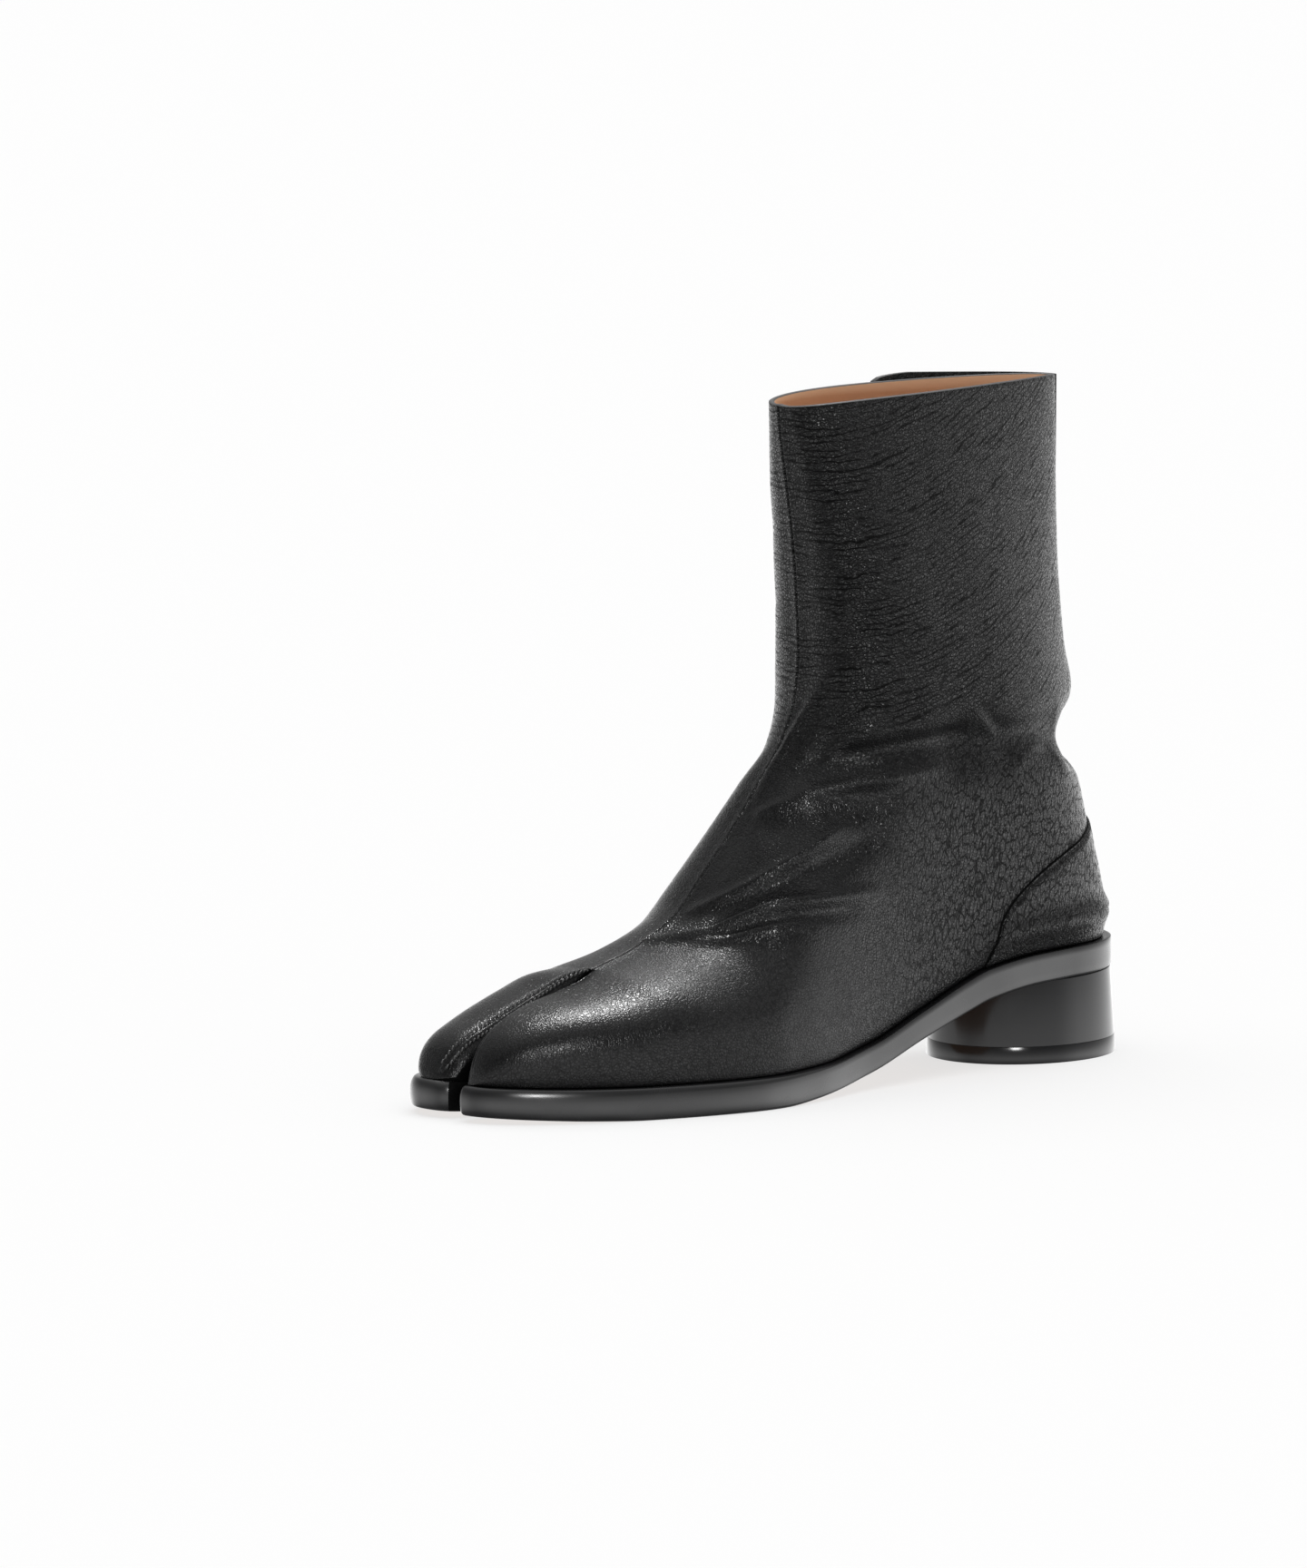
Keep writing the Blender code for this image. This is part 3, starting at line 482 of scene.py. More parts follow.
def lobe_section(side, w, skin=0.0):
    """All sizes of one section across a toe lobe, set in by the skin."""
    first = section(0.0, skin)
    slot_inset = SLOT_LEDGE + skin
    notch = NOTCH_X - slot_inset
    x = lobe_x(side, w, TOE_LEDGE + skin, slot_inset)
    tip_x = lobe_x(side, 1.0, TOE_LEDGE + skin, slot_inset)
    ledge = LEDGE + (TOE_LEDGE - LEDGE) * w * w + skin
    turn_in = TURN_IN * (1.0 - w ** TURN_POWER)
    fade = (1.0 - w) ** 2
    half = outer_edge(side, x, ledge)
    half += fade * (first["half"][side] - outer_edge(side, notch, LEDGE + skin))
    foot = outer_edge(side, x, ledge + turn_in)
    foot += fade * (first["foot"][side] - outer_edge(side, notch, LEDGE + skin + TURN_IN))
    wall_y = slot_edge(side, x, TOE_LEDGE + skin, slot_inset)
    if w == 1.0:
        half = wall_y
        foot = wall_y
    base_z = sole_top(x) + FIT
    column = 1 if side > 0 else 2
    roll = 1 if side > 0 else 3
    share = (x - notch) / (tip_x - notch)
    place = TOE_TOPS[0][0] + (TOE_TOPS[-1][0] - TOE_TOPS[0][0]) * share
    top_z = max(curve(TOE_TOPS, column, place) - skin * (1.0 - share ** SKIN_POWER), base_z)
    across = min(curve(SLOT_ROLL, roll, place), 0.5 * abs(half - wall_y))
    down = min(curve(SLOT_ROLL, roll + 1, place), top_z - base_z)
    top_y = wall_y + side * across
    if w == 0.0:
        top_y = first["seam"][1] + side * first["band"]
        top_z = first["seam"][2]
    return {
        "seam": (x, top_y, top_z),
        "base": (x, base_z),
        "soft": (x, base_z),
        "band": 0.0,
        "half": {side: half},
        "foot": {side: foot},
        "soft_foot": {side: foot},
        "widest": first["widest"],
        "powers": first["powers"],
        "rise": first["rise"],
        "wall": wall_y,
        "down": down,
    }


def slot_column(row, share):
    """Point on the split side of a lobe: share 0 to 1 over the roll, 1 to 2 down the wall."""
    x, top_y, top_z = row["seam"]
    base_z = row["base"][1]
    low = top_z - row["down"]
    if share <= 1.0:
        turn = 0.5 * math.pi * share
        y = top_y + (row["wall"] - top_y) * math.sin(turn)
        return (x, y, low + row["down"] * math.cos(turn))
    return (x, row["wall"], low + (base_z - low) * (share - 1.0))


class Surface:
    """Faces of one piece with a material number for each, gathered as grids of points."""

    def __init__(self):
        self.points = []
        self.faces = []
        self.materials = []

    def grid(self, rows, material=0, closed=False):
        width = len(rows[0])
        start = len(self.points)
        for row in rows:
            self.points.extend(row)
        for r in range(len(rows) - 1):
            for c in range(width if closed else width - 1):
                n = (c + 1) % width
                low = start + r * width
                high = low + width
                self.faces.append((low + c, low + n, high + n, high + c))
                self.materials.append(material)

    def bridge(self, line, within, step):
        """Faces between a fine line and a coarse one that has a point for every few of the first."""
        start = len(self.points)
        self.points.extend(line)
        self.points.extend(within)
        for k in range(len(within) - 1):
            fine = [start + step * k + c for c in range(step + 1)]
            coarse = start + len(line) + k
            self.faces.append((*fine, coarse + 1, coarse))
            self.materials.append(LEATHER_FACES)


def make_piece(name, surface, materials):
    """A smooth mesh object in the shared frame, welded where its grids meet."""
    points = [tuple((p - s) * MM for p, s in zip(point, FRAME_SHIFT)) for point in surface.points]
    mesh = bpy.data.meshes.new(name)
    mesh.from_pydata(points, [], surface.faces)
    for material in materials:
        mesh.materials.append(material)
    mesh.polygons.foreach_set("material_index", surface.materials)
    shape = bmesh.new()
    shape.from_mesh(mesh)
    bmesh.ops.remove_doubles(shape, verts=shape.verts, dist=MERGE)
    bmesh.ops.recalc_face_normals(shape, faces=shape.faces)
    for face in shape.faces:
        face.smooth = True
    shape.to_mesh(mesh)
    shape.free()
    mesh.update()
    piece = bpy.data.objects.new(name, mesh)
    bpy.context.scene.collection.objects.link(piece)
    return piece


def finish_piece(piece, slot, *nodes):
    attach(piece, "root")
    if nodes:
        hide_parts(*nodes)


def bent_line(row):
    """Points along a smooth line through the three places of a crease."""
    start, middle, end = (np.array(row[3 * k:3 * k + 3]) for k in range(3))
    t = np.linspace(0.0, 1.0, PATH_STEPS)[:, None]
    return start * (1 - t) * (1 - 2 * t) + middle * 4 * t * (1 - t) + end * t * (2 * t - 1)


def distance_to(points, path):
    """Distance from each point to a line of points, and how far along the line that is, 0 to 1."""
    best = np.full(len(points), np.inf)
    place = np.zeros(len(points))
    count = len(path) - 1
    for k in range(count):
        along = path[k + 1] - path[k]
        t = np.clip((points - path[k]) @ along / max(along @ along, TINY), 0.0, 1.0)
        gap = np.linalg.norm(points - path[k] - t[:, None] * along, axis=1)
        closer = gap < best
        best[closer] = gap[closer]
        place[closer] = (k + t[closer]) / count
    return best, place


def crease_lines(piece):
    """The lines of the creases, laid on a piece's surface."""
    lines = []
    for row in CREASES:
        line = []
        for point in bent_line(row):
            _, found, _, _ = piece.closest_point_on_mesh((point - FRAME_SHIFT) * MM)
            line.append(np.array(found) / MM + FRAME_SHIFT)
        lines.append(np.array(line))
    return lines


def crease_heights(points, lines, inside):
    """Height of all the creases at each point; the lining has the troughs only, and wider."""
    heights = np.zeros(len(points))
    for row, line in zip(CREASES, lines):
        *_, width, height = row
        width = width + np.where(inside, LINING_SPREAD, 0.0)
        height = np.where(inside, min(height, 0.0), height)
        gap, place = distance_to(points, line)
        ends = np.sin(math.pi * np.clip(place, 0.0, 1.0)) ** CREASE_FADE
        heights += height * ends * np.exp(-(gap / width) ** 2)
    return heights


def line_heights(points, path, profile):
    """Height of a ridge or groove with one profile all along a line."""
    gap, _ = distance_to(points, np.array(path))
    return sum(height * np.exp(-(gap / width) ** 2) for width, height in profile)


def press(piece, creases, lines, inner_material=None):
    """Moves a piece's points along their normals by the creases and the given lines."""
    mesh = piece.data
    count = len(mesh.vertices)
    places = np.empty(count * 3)
    mesh.vertices.foreach_get("co", places)
    places = places.reshape(-1, 3)
    normals = np.empty(count * 3)
    mesh.vertex_normals.foreach_get("vector", normals)
    normals = normals.reshape(-1, 3)
    points = places / MM + FRAME_SHIFT
    outward = np.ones(count)
    if inner_material is not None:
        for polygon in mesh.polygons:
            if polygon.material_index == inner_material:
                outward[list(polygon.vertices)] = -1.0
    inside = outward < 0
    heights = crease_heights(points, creases, inside)
    below = np.clip((LINING_TOP - points[:, 2]) / LINING_FADE, 0.0, 1.0)
    heights -= np.where(inside, LINING_SINK * below, 0.0)
    for path, profile in lines:
        heights += np.where(outward > 0, line_heights(points, path, profile), 0.0)
    places += normals * (heights * outward * MM)[:, None]
    mesh.vertices.foreach_set("co", places.ravel())
    mesh.update()


def upper_skin(surface, skin, step, material, split_material):
    """One face of the upper's wall: the line round its collar, and the lines where it meets the sole."""
    values = [0.5 * k / ARCH_STEPS for k in range(2 * ARCH_STEPS + 1)]
    rows = []
    for k in range(0, UPPER_ROWS + 1, step):
        row = section(COLLAR * k / UPPER_ROWS, skin)
        lateral = [arch(row, 1, v) for v in values]
        medial = [arch(row, -1, v) for v in values]
        band = []
        for share in BAND_SHARES:
            band.append(tuple(m + (l - m) * 0.5 * (1.0 + share) for l, m in zip(lateral[0], medial[0])))
        rows.append(medial[::-1] + band + lateral)
    surface.grid(rows, material)
    closing = int(OPEN_SECTIONS * UPPER_ROWS / COLLAR) // step + 1
    lines = [[row[0] for row in rows[:closing]], [row[-1] for row in rows[:closing]]]
    slot_shares = [2.0 - k / WALL_STEPS for k in range(WALL_STEPS)]
    slot_shares += [1.0 - k / ROLL_STEPS for k in range(ROLL_STEPS)]
    ends = []
    for side in (1, -1):
        strip = []
        for k in range(0, LOBE_ROWS + 1, step):
            row = lobe_section(side, k / LOBE_ROWS, skin)
            line = [slot_column(row, share) for share in slot_shares]
            strip.append(line + [arch(row, side, v) for v in values])
        tip = row
        strip[-1] = [(tip["base"][0], tip["wall"], tip["base"][1])] * len(strip[-1])
        # On the outer skin the split's wall and the last roll steps of the big-toe side are painted shade
        dark = WALL_STEPS + (SPLIT_SHADE_STEPS if side < 0 else 0)
        surface.grid([line[: dark + 1] for line in strip], split_material)
        surface.grid([line[dark:] for line in strip], material)
        ends.append(strip[0][: len(slot_shares) + 1])
        lines.append([row[0] for row in strip])
        lines.append([row[-1] for row in strip])
    surface.grid([[a, b] for a, b in zip(*ends)], split_material)
    return rows[-1], lines, [ends[0][0], ends[1][0]]


def seam_path():
    return [section(COLLAR * k / SEAM_STEPS)["seam"] for k in range(SEAM_STEPS + 1)]


def split_path(side, share):
    """Points along a lobe beside the split, each with its outward direction."""
    path = []
    for k in range(SPLIT_FIRST, SPLIT_LAST + 1):
        w = k / SPLIT_STEPS
        row = lobe_section(side, w)
        here = np.array(slot_column(row, share))
        ahead = np.array(slot_column(lobe_section(side, w + SMALL_STEP), share)) - here
        across = np.array(slot_column(row, share + SMALL_STEP)) - here
        out = np.cross(ahead, across)
        out *= side / np.linalg.norm(out)
        if out[2] < 0.0:
            out = -out
        path.append((here, out))
    return path


def ring(centre, side, out, radius):
    """Points round a thread or cord."""
    turns = [2.0 * math.pi * k / STITCH_SIDES for k in range(STITCH_SIDES)]
    return [tuple(centre + radius * (side * math.cos(turn) + out * math.sin(turn))) for turn in turns]


def add_stitch(surface, middle, along, out):
    """One short thread: a rounded rod that dips at both ends."""
    side = np.cross(out, along)
    rows = []
    for k in range(STITCH_SIDES + 1):
        t = 2.0 * k / STITCH_SIDES - 1.0
        thick = STITCH_RADIUS * math.sqrt(max(1.0 - t ** STITCH_POWER, STITCH_BLUNT))
        dip = STITCH_RADIUS * STITCH_BOW * (1.0 - 2.0 * t * t)
        centre = middle + along * (0.5 * STITCH_LENGTH * t) + out * dip
        rows.append(ring(centre, side, out, thick))
    surface.grid(rows, closed=True)


def stitch_line(surface, path, lift):
    """Slanting stitches one after another along a path of points with outward directions."""
    points = np.array([point for point, _ in path])
    steps = np.linalg.norm(np.diff(points, axis=0), axis=1)
    run = np.concatenate(([0.0], np.cumsum(steps)))
    count = int(run[-1] / STITCH_PITCH)
    for k in range(count):
        at = (k + 0.5) * STITCH_PITCH
        n = int(np.searchsorted(run, at)) - 1
        share = (at - run[n]) / steps[n]
        middle = points[n] + (points[n + 1] - points[n]) * share
        out = path[n][1]
        along = (points[n + 1] - points[n]) / steps[n]
        side = np.cross(out, along)
        slanted = along + side * STITCH_SLANT
        add_stitch(surface, middle + out * lift, slanted / np.linalg.norm(slanted), out)


def build_stitches(thread):
    surface = Surface()
    ridge = SPLIT_LINES[-1][1][0][1]
    for share in STITCH_ROWS:
        stitch_line(surface, split_path(-1, share), ridge)
    stitches = make_piece("boot_split_stitches", surface, (thread,))
    finish_piece(stitches, "upper_leather")


def build_upper(leather, lining, shade, cut_edge_light):
    """The upper; gives the lines of its creases."""
    surface = Surface()
    outer, outer_lines, outer_end = upper_skin(surface, 0.0, 1, LEATHER_FACES, SPLIT_SHADE_FACES)
    inner, inner_lines, inner_end = upper_skin(surface, WALL, LINING_STEP, LINING_FACES, LINING_FACES)
    rim = []
    for k in range(RIM_STEPS + 1):
        share = k / RIM_STEPS
        lift = RIM_LIFT * math.sin(math.pi * share)
        rim.append([tuple(a + (b - a) * share + (lift if part == 2 else 0.0)
                          for part, (a, b) in enumerate(zip(o, i))) for o, i in zip(outer, inner)])
    # The collar rim is the cut edge, lightened as a painted highlight
    surface.grid(rim, CUT_HIGHLIGHT_FACES)
    for line, within in zip(outer_lines, inner_lines):
        surface.bridge(line, within, LINING_STEP)
    surface.grid([outer_end, inner_end], LEATHER_FACES)
    upper = make_piece("boot_upper", surface, (leather, lining, shade, cut_edge_light))
    lines = [(seam_path(), SEAM_PROFILE)]
    for side, (share, profile) in SPLIT_LINES.items():
        lines.append(([point for point, _ in split_path(side, share)], profile))
    creases = crease_lines(upper)
    press(upper, creases, lines, inner_material=LINING_FACES)
    finish_piece(upper, "upper_leather", "upper")
    return creases


def cut_place(u, side, beyond):
    """Where a section crosses an edge drawn from the side: the first v past it."""
    row = section(u)
    low = 0.5
    high = 1.0
    for _ in range(HALVINGS):
        middle = 0.5 * (low + high)
        if beyond(arch(row, side, middle)):
            high = middle
        else:
            low = middle
    return high


def counter_below(point):
    return point[2] < curve(COUNTER_EDGE, 1, point[0]) and point[0] < COUNTER_EDGE[-1][0]


def flap_behind(point):
    return point[0] < curve(FLAP_EDGE, 1, point[2])


def build_counter(leather, shade, creases):
    surface = Surface()
    cord = Surface()
    for side in (1, -1):
        rows = []
        path = []
        for k in range(COUNTER_ROWS + 1):
            u = COUNTER_FIRST + (COUNTER_LAST - COUNTER_FIRST) * k / COUNTER_ROWS
            start = cut_place(u, side, counter_below)
            path.append(np.array(arch(section(u, -CORD_RISE), side, start)))
            line = []
            for c in range(COUNTER_COLUMNS + 1):
                share = (c / COUNTER_COLUMNS) ** COUNTER_CROWD
                edge = min(share * COUNTER_SOFT, 1.0)
                rise = COUNTER_RISE * edge * edge * (3.0 - 2.0 * edge) - COUNTER_SUNK
                line.append(arch(section(u, -rise), side, start + (1.0 - start) * share))
            rows.append(line)
        surface.grid(rows)
        # Painted shade: a dull black cord along the counter's seam, where it lies in shadow
        add_tube(cord, path, COUNTER_SHADE_CORD)
    counter = make_piece("boot_heel_counter", surface, (leather,))
    press(counter, creases, [])
    finish_piece(counter, "upper_leather", "heel_counter")
    seam = make_piece("boot_counter_shade_cord", cord, (shade,))
    finish_piece(seam, "upper_leather")


def build_flap(leather, cut_edge_light):
    surface = Surface()

    def thick(share):
        return FLAP_WALL + (FLAP_BACK_WALL - FLAP_WALL) * share

    faces = []
    for outer in (False, True):
        rows = []
        for k in range(FLAP_ROWS + 1):
            u = FLAP_FIRST + (COLLAR - FLAP_FIRST) * k / FLAP_ROWS
            start = cut_place(u, -1, flap_behind)
            line = []
            for c in range(FLAP_COLUMNS + 1):
                share = c / FLAP_COLUMNS
                skin = FIT + (thick(share) if outer else 0.0)
                line.append(arch(section(u, -skin), -1, start + (1.0 - start) * share))
            rows.append(line)
        top = []
        for c, (x, y, z) in enumerate(rows[-1]):
            corner = min(1.0, c / FLAP_CORNER) ** 0.5
            rise = FLAP_RISE * corner * (1.0 - c / FLAP_COLUMNS) ** 2
            top.append((x, y, z + FLAP_BACK_RISE + rise))
        rows.append(top)
        surface.grid(rows)
        faces.append(rows)
    inside, outside = faces
    for end in (0, -1):
        surface.grid([[row[end] for row in inside], [row[end] for row in outside]])
    surface.grid([inside[0], outside[0]])
    # The flap's top is the cut edge, lightened as a painted highlight
    surface.grid([inside[-1], outside[-1]], FLAP_CUT_HIGHLIGHT_FACES)
    flap = make_piece("boot_closure_flap", surface, (leather, cut_edge_light))
    finish_piece(flap, "upper_leather", "closure_flap")


def add_tube(surface, path, radius):
    """A round cord along a line of points."""
    rows = []
    for k, here in enumerate(path):
        along = path[min(k + 1, len(path) - 1)] - path[max(k - 1, 0)]
        along /= np.linalg.norm(along)
        side = np.cross(along, (0.0, 1.0, 0.0))
        side /= np.linalg.norm(side)
        out = np.cross(side, along)
        rows.append(ring(here, side, out, radius))
    surface.grid(rows, closed=True)


def rounded_edge(outer, inner, top, under, edge_round):
    """Points from the top face round the edge to the underside."""
    (x, y), (xi, yi) = outer, inner
    high = top(x)
    low = under(x)
    fall = min(curve(EDGE_SHAPE, 1, x), EDGE_LIMIT * (high - low))
    bulge = curve(EDGE_SHAPE, 2, x) / edge_round
    places = [(0.0, 0.0)]
    for k in range(1, EDGE_STEPS + 1):
        turn = 0.5 * math.pi * k / EDGE_STEPS
        places.append((math.sin(turn), fall * (1.0 - math.cos(turn))))
    for k in range(1, EDGE_STEPS):
        places.append((1.0, fall + (high - low - fall - edge_round) * k / EDGE_STEPS))
    for k in range(EDGE_STEPS + 1):
        turn = 0.5 * math.pi * k / EDGE_STEPS
        places.append((math.cos(turn), high - low - edge_round * (1.0 - math.sin(turn))))
    line = []
    for out, down in places:
        out *= 1.0 + bulge * math.sin(math.pi * down / (high - low))
        line.append((xi + (x - xi) * out, yi + (y - yi) * out, high - down))
    return line


def build_plate(name, slot, node, materials, inset, slot_inset, edge_round, top, under):
    """A sole plate: rounded edge all round, split into two lobes at the toes."""
    notch = NOTCH_X - slot_inset
    surface = Surface()

    def rounded(outer, inner):
        return rounded_edge(outer, inner, top, under, edge_round)

    rows = []
    for k in range(HEEL_ROWS):
        turn = 0.5 * math.pi * (1.0 - k / HEEL_ROWS)
        pair = []
        for extra in (0.0, edge_round):
            x = HEEL_CENTRE - (HEEL_DEPTH - inset - extra) * math.sin(turn)
            y = (HEEL_HALF - inset - extra) * math.cos(turn)
            pair.append((x, y, -y))
        rows.append((pair, math.cos(turn)))
    for k in range(WAIST_ROWS + 1):
        x = HEEL_CENTRE + (notch - HEEL_CENTRE) * k / WAIST_ROWS
        pair = [(x, outer_edge(1, x, inset + e), outer_edge(-1, x, inset + e)) for e in (0.0, edge_round)]
        rows.append((pair, 1.0))
    middle = [SLOT_Y + side * (curve(SLOT_GAP, 1, notch) + slot_inset) for side in (1, -1)]
    edges = {1: [], -1: []}
    tops = []
    unders = []
    for (outer, inner), reach in rows:
        for column, side in ((1, 1), (2, -1)):
            edges[side].append(rounded((outer[0], outer[column]), (inner[0], inner[column])))
        x = inner[0]
        across = [inner[1], middle[0] * reach, middle[1] * reach, inner[2]]
        tops.append([(x, y, top(x)) for y in across])
        unders.append([(x, y, under(x)) for y in across])
    for side in (1, -1):
        surface.grid(edges[side], EDGE_FACES)
    surface.grid(tops, EDGE_FACES)
    surface.grid(unders, UNDER_FACES)
    ends = []
    for side in (1, -1):
        outside = []
        inside = []
        for k in range(LOBE_ROWS + 1):
            w = k / LOBE_ROWS
            x = lobe_x(side, w, inset, slot_inset)
            xi = lobe_x(side, w, inset + edge_round, slot_inset)
            bevel = edge_round * min(1.0, w / BEVEL_SHARE)
            outside.append(rounded((x, outer_edge(side, x, inset)),
                                   (xi, outer_edge(side, xi, inset + edge_round))))
            inside.append(rounded((x, slot_edge(side, x, inset, slot_inset)),
                                  (xi, slot_edge(side, xi, inset + edge_round, slot_inset + bevel))))
        surface.grid(outside, EDGE_FACES)
        # The split walls of the sole, short of the tip, are painted shade in dull black
        surface.grid(inside[: -TIP_ROWS], SLOT_SHADE_FACES)
        surface.grid(inside[-TIP_ROWS - 1:], EDGE_FACES)
        surface.grid([[a[0], b[0]] for a, b in zip(outside, inside)], EDGE_FACES)
        surface.grid([[a[-1], b[-1]] for a, b in zip(outside, inside)], UNDER_FACES)
        ends.append(inside[0])
    surface.grid([[a, b] for a, b in zip(*ends)], SLOT_SHADE_FACES)
    plate = make_piece(name, surface, materials)
    finish_piece(plate, slot, node)


def build_heel(name, slot, node, materials, rings, top, under):
    """Round heel piece with a straight side and softened edges."""
    (top_x, top_y), (base_x, base_y) = rings
    surface = Surface()
    loops = []
    for share, inset in HEEL_SIDE:
        loop = []
        for k in range(OVAL_STEPS):
            turn = 2.0 * math.pi * k / OVAL_STEPS
            half_x = top_x + (base_x - top_x) * share - inset
            half_y = top_y + (base_y - top_y) * share - inset
            x = HEEL_CENTRE - half_x * math.cos(turn)
            z = top(HEEL_CENTRE - top_x * math.cos(turn))
            loop.append((x, half_y * math.sin(turn), z + (under - z) * share))
        loops.append(loop)
    surface.grid(loops, EDGE_FACES, closed=True)
    for loop, material in ((loops[0], EDGE_FACES), (loops[-1], UNDER_FACES)):
        half = OVAL_STEPS // 2
        across = [[loop[k], loop[(OVAL_STEPS - k) % OVAL_STEPS]] for k in range(half + 1)]
        surface.grid(across, material)
    heel = make_piece(name, surface, materials)
    finish_piece(heel, slot, node)


class Shader:
    """Builds the nodes of one material, or of the world."""

    def __init__(self, owner, last="Principled BSDF"):
        owner.use_nodes = True
        self.owner = owner
        self.tree = owner.node_tree
        self.last = self.tree.nodes[last]

    def give(self, node, inputs):
        """Sets each input of a node, or links it to another node's output."""
        for key, value in inputs.items():
            if isinstance(value, bpy.types.NodeSocket):
                self.tree.links.new(value, node.inputs[key])
            else:
                node.inputs[key].default_value = value

    def add(self, kind, output, inputs, **settings):
        """Adds a node and gives one of its outputs."""
        made = self.tree.nodes.new("ShaderNode" + kind)
        for key, value in settings.items():
            setattr(made, key, value)
        self.give(made, inputs)
        return made.outputs[output]

    def finished(self, inputs):
        """Fills in the last node and gives the material or world."""
        self.give(self.last, inputs)
        return self.owner

    def places(self):
        """Object coordinates."""
        return self.add("TexCoord", "Object", {})

    def drawn_out(self, places, stretch, turn=(0.0, 0.0, 0.0)):
        """Places drawn out along turned axes."""
        return self.add("Mapping", "Vector", {"Vector": places, "Rotation": turn, "Scale": stretch},
                        vector_type="TEXTURE")

    def wandering(self, places, scale, amount):
        """Places pushed about by noise, so that lines through them waver."""
        push = self.add("TexNoise", "Color", {"Vector": places, "Scale": scale})
        return self.add("VectorMath", "Vector", {0: push, 1: (amount, amount, amount), 2: places},
                        operation="MULTIPLY_ADD")

    def part(self, places, axis):
        """One coordinate of the places."""
        return self.add("SeparateXYZ", axis, {"Vector": places})

    def noise(self, places, scale, detail):
        return self.add("TexNoise", "Fac", {"Vector": places, "Scale": scale, "Detail": detail})

    def cells(self, places, scale):
        """Distance to the edges of pebble-like cells."""
        return self.add("TexVoronoi", "Distance", {"Vector": places, "Scale": scale},
                        feature="DISTANCE_TO_EDGE")

    def flow(self, places, stretch):
        """Places drawn out along lines that lie level at the front and climb towards the heel."""
        x, y, z = (self.part(places, axis) for axis in "XYZ")
        slope = self.math("ADD", self.math("MULTIPLY", x, FLOW_BEND), FLOW_SLOPE)
        across = self.math("ADD", z, self.math("MULTIPLY", x, slope))
        return self.add("CombineXYZ", "Vector", {
            "X": self.math("DIVIDE", x, stretch),
            "Y": self.math("DIVIDE", y, stretch),
            "Z": across,
        })

    def wavy_lines(self, places):
        """Thin wavy lines one above another: 0 on a line, 1 away from it."""
        waves = self.add("TexWave", "Fac", {"Vector": places, **WAVES},
                         wave_type="BANDS", bands_direction="Z", wave_profile="SIN")
        return self.ramp(waves, WAVE_RAMP)

    def ramp(self, value, limits, kind="SMOOTHSTEP"):
        """A value between the first two limits, as a number from the third to the fourth."""
        keys = ("From Min", "From Max", "To Min", "To Max")
        return self.add("MapRange", "Result", {"Value": value, **dict(zip(keys, limits))},
                        interpolation_type=kind)

    def math(self, operation, first, second):
        return self.add("Math", "Value", {0: first, 1: second}, operation=operation)

    def mix(self, value, first, second, kind="FLOAT"):
        return self.add("Mix", "Result", {"Factor": value, "A": first, "B": second}, data_type=kind)

    def bump(self, height, strength, distance):
        return self.add("Bump", "Normal", {"Height": height, "Strength": strength, "Distance": distance})


WHITE = (1.0, 1.0, 1.0, 1.0)

# Slope of the cracks round the shaft in front, and its change along the boot
FLOW_SLOPE = 0.04
FLOW_BEND = -3.06
# Wavy cracks round the shaft, and how far they are drawn out
WAVES = {"Scale": 125.0, "Distortion": 7.0, "Detail": 3.0, "Detail Scale": 2.2, "Detail Roughness": 0.6}
WAVE_STRETCH = 3.6
# Breaks in the cracks, and beads between them: scale, how far they are drawn out
BREAK_SCALE = 150.0
BREAK_STRETCH = 2.0
BEAD_SCALE = 900.0
BEAD_STRETCH = 1.35
# Cells of the quarters, drawn out along a line that leans towards the heel
QUARTER_SCALE = 640.0
QUARTER_STRETCH = (2.8, 1.0, 1.0)
QUARTER_TURN = (0.0, math.radians(78.0), 0.0)
PEBBLE_SCALE = 950.0
# Wavering of the cells: scale, distance in metres
WANDER = (200.0, 0.0012)
# Noises: scale, detail
FINE_NOISE = (1700.0, 2.0)
BROAD_NOISE = (60.0, 3.0)
BREAK_DETAIL = 2.0
# Ramps over a pattern or over the place on the boot in metres: two limits, the number at each
SHAFT_RAMP = (0.1, 0.135, 0.0, 1.0)
REAR_RAMP = (0.0, -0.06, 0.3, 1.0)
TOE_RAMP = (0.05, 0.1, 0.9, 0.4)
WAVE_RAMP = (0.0, 0.2, 0.0, 1.0)
BREAK_RAMP = (0.42, 0.56, 0.25, 1.0)
BEAD_RAMP = (0.0, 0.2, 0.25, 1.0)
QUARTER_RAMP = (0.0, 0.15, 0.1, 1.0)
PEBBLE_RAMP = (0.0, 0.26, 0.0, 1.0)
# Painted shade in the gaps between the pebbles: ramp that darkens them
PEBBLE_SHADE = (0.0, 1.0, 0.6, 1.0)
GLOSS_RAMP = (0.3, 0.7, 0.15, 0.2)
# Satin finish of the vamp, added to the roughness: axis and ramp of each share
SATIN = (
    ("X", (0.09, 0.055, 0.09, 0.28)),
    ("X", (-0.02, 0.03, 0.3, 1.0)),
    ("Z", (0.045, 0.06, 1.0, 0.0)),
)
# Shares of the pebbles, the fine noise and the cracks in the bump, then its strength and depth
PEBBLE_SHARE = 0.4
FINE_SHARE = 0.22
CRACK_SHARE = 0.6
LEATHER_BUMP = (0.7, 0.0003)
# Painted shade in the cracks and the gaps between pebbles: a darker colour and a dimmed reflection stand
# in for the shade in these grooves
CRACK_SHADE_COLOUR = (0.002, 0.002, 0.002, 1.0)
LEATHER_COLOUR = (0.0065, 0.0065, 0.007, 1.0)
CRACK_SHADE_TINT = (0.1, 0.1, 0.1, 1.0)
CRACK_ROUGHNESS = 0.6

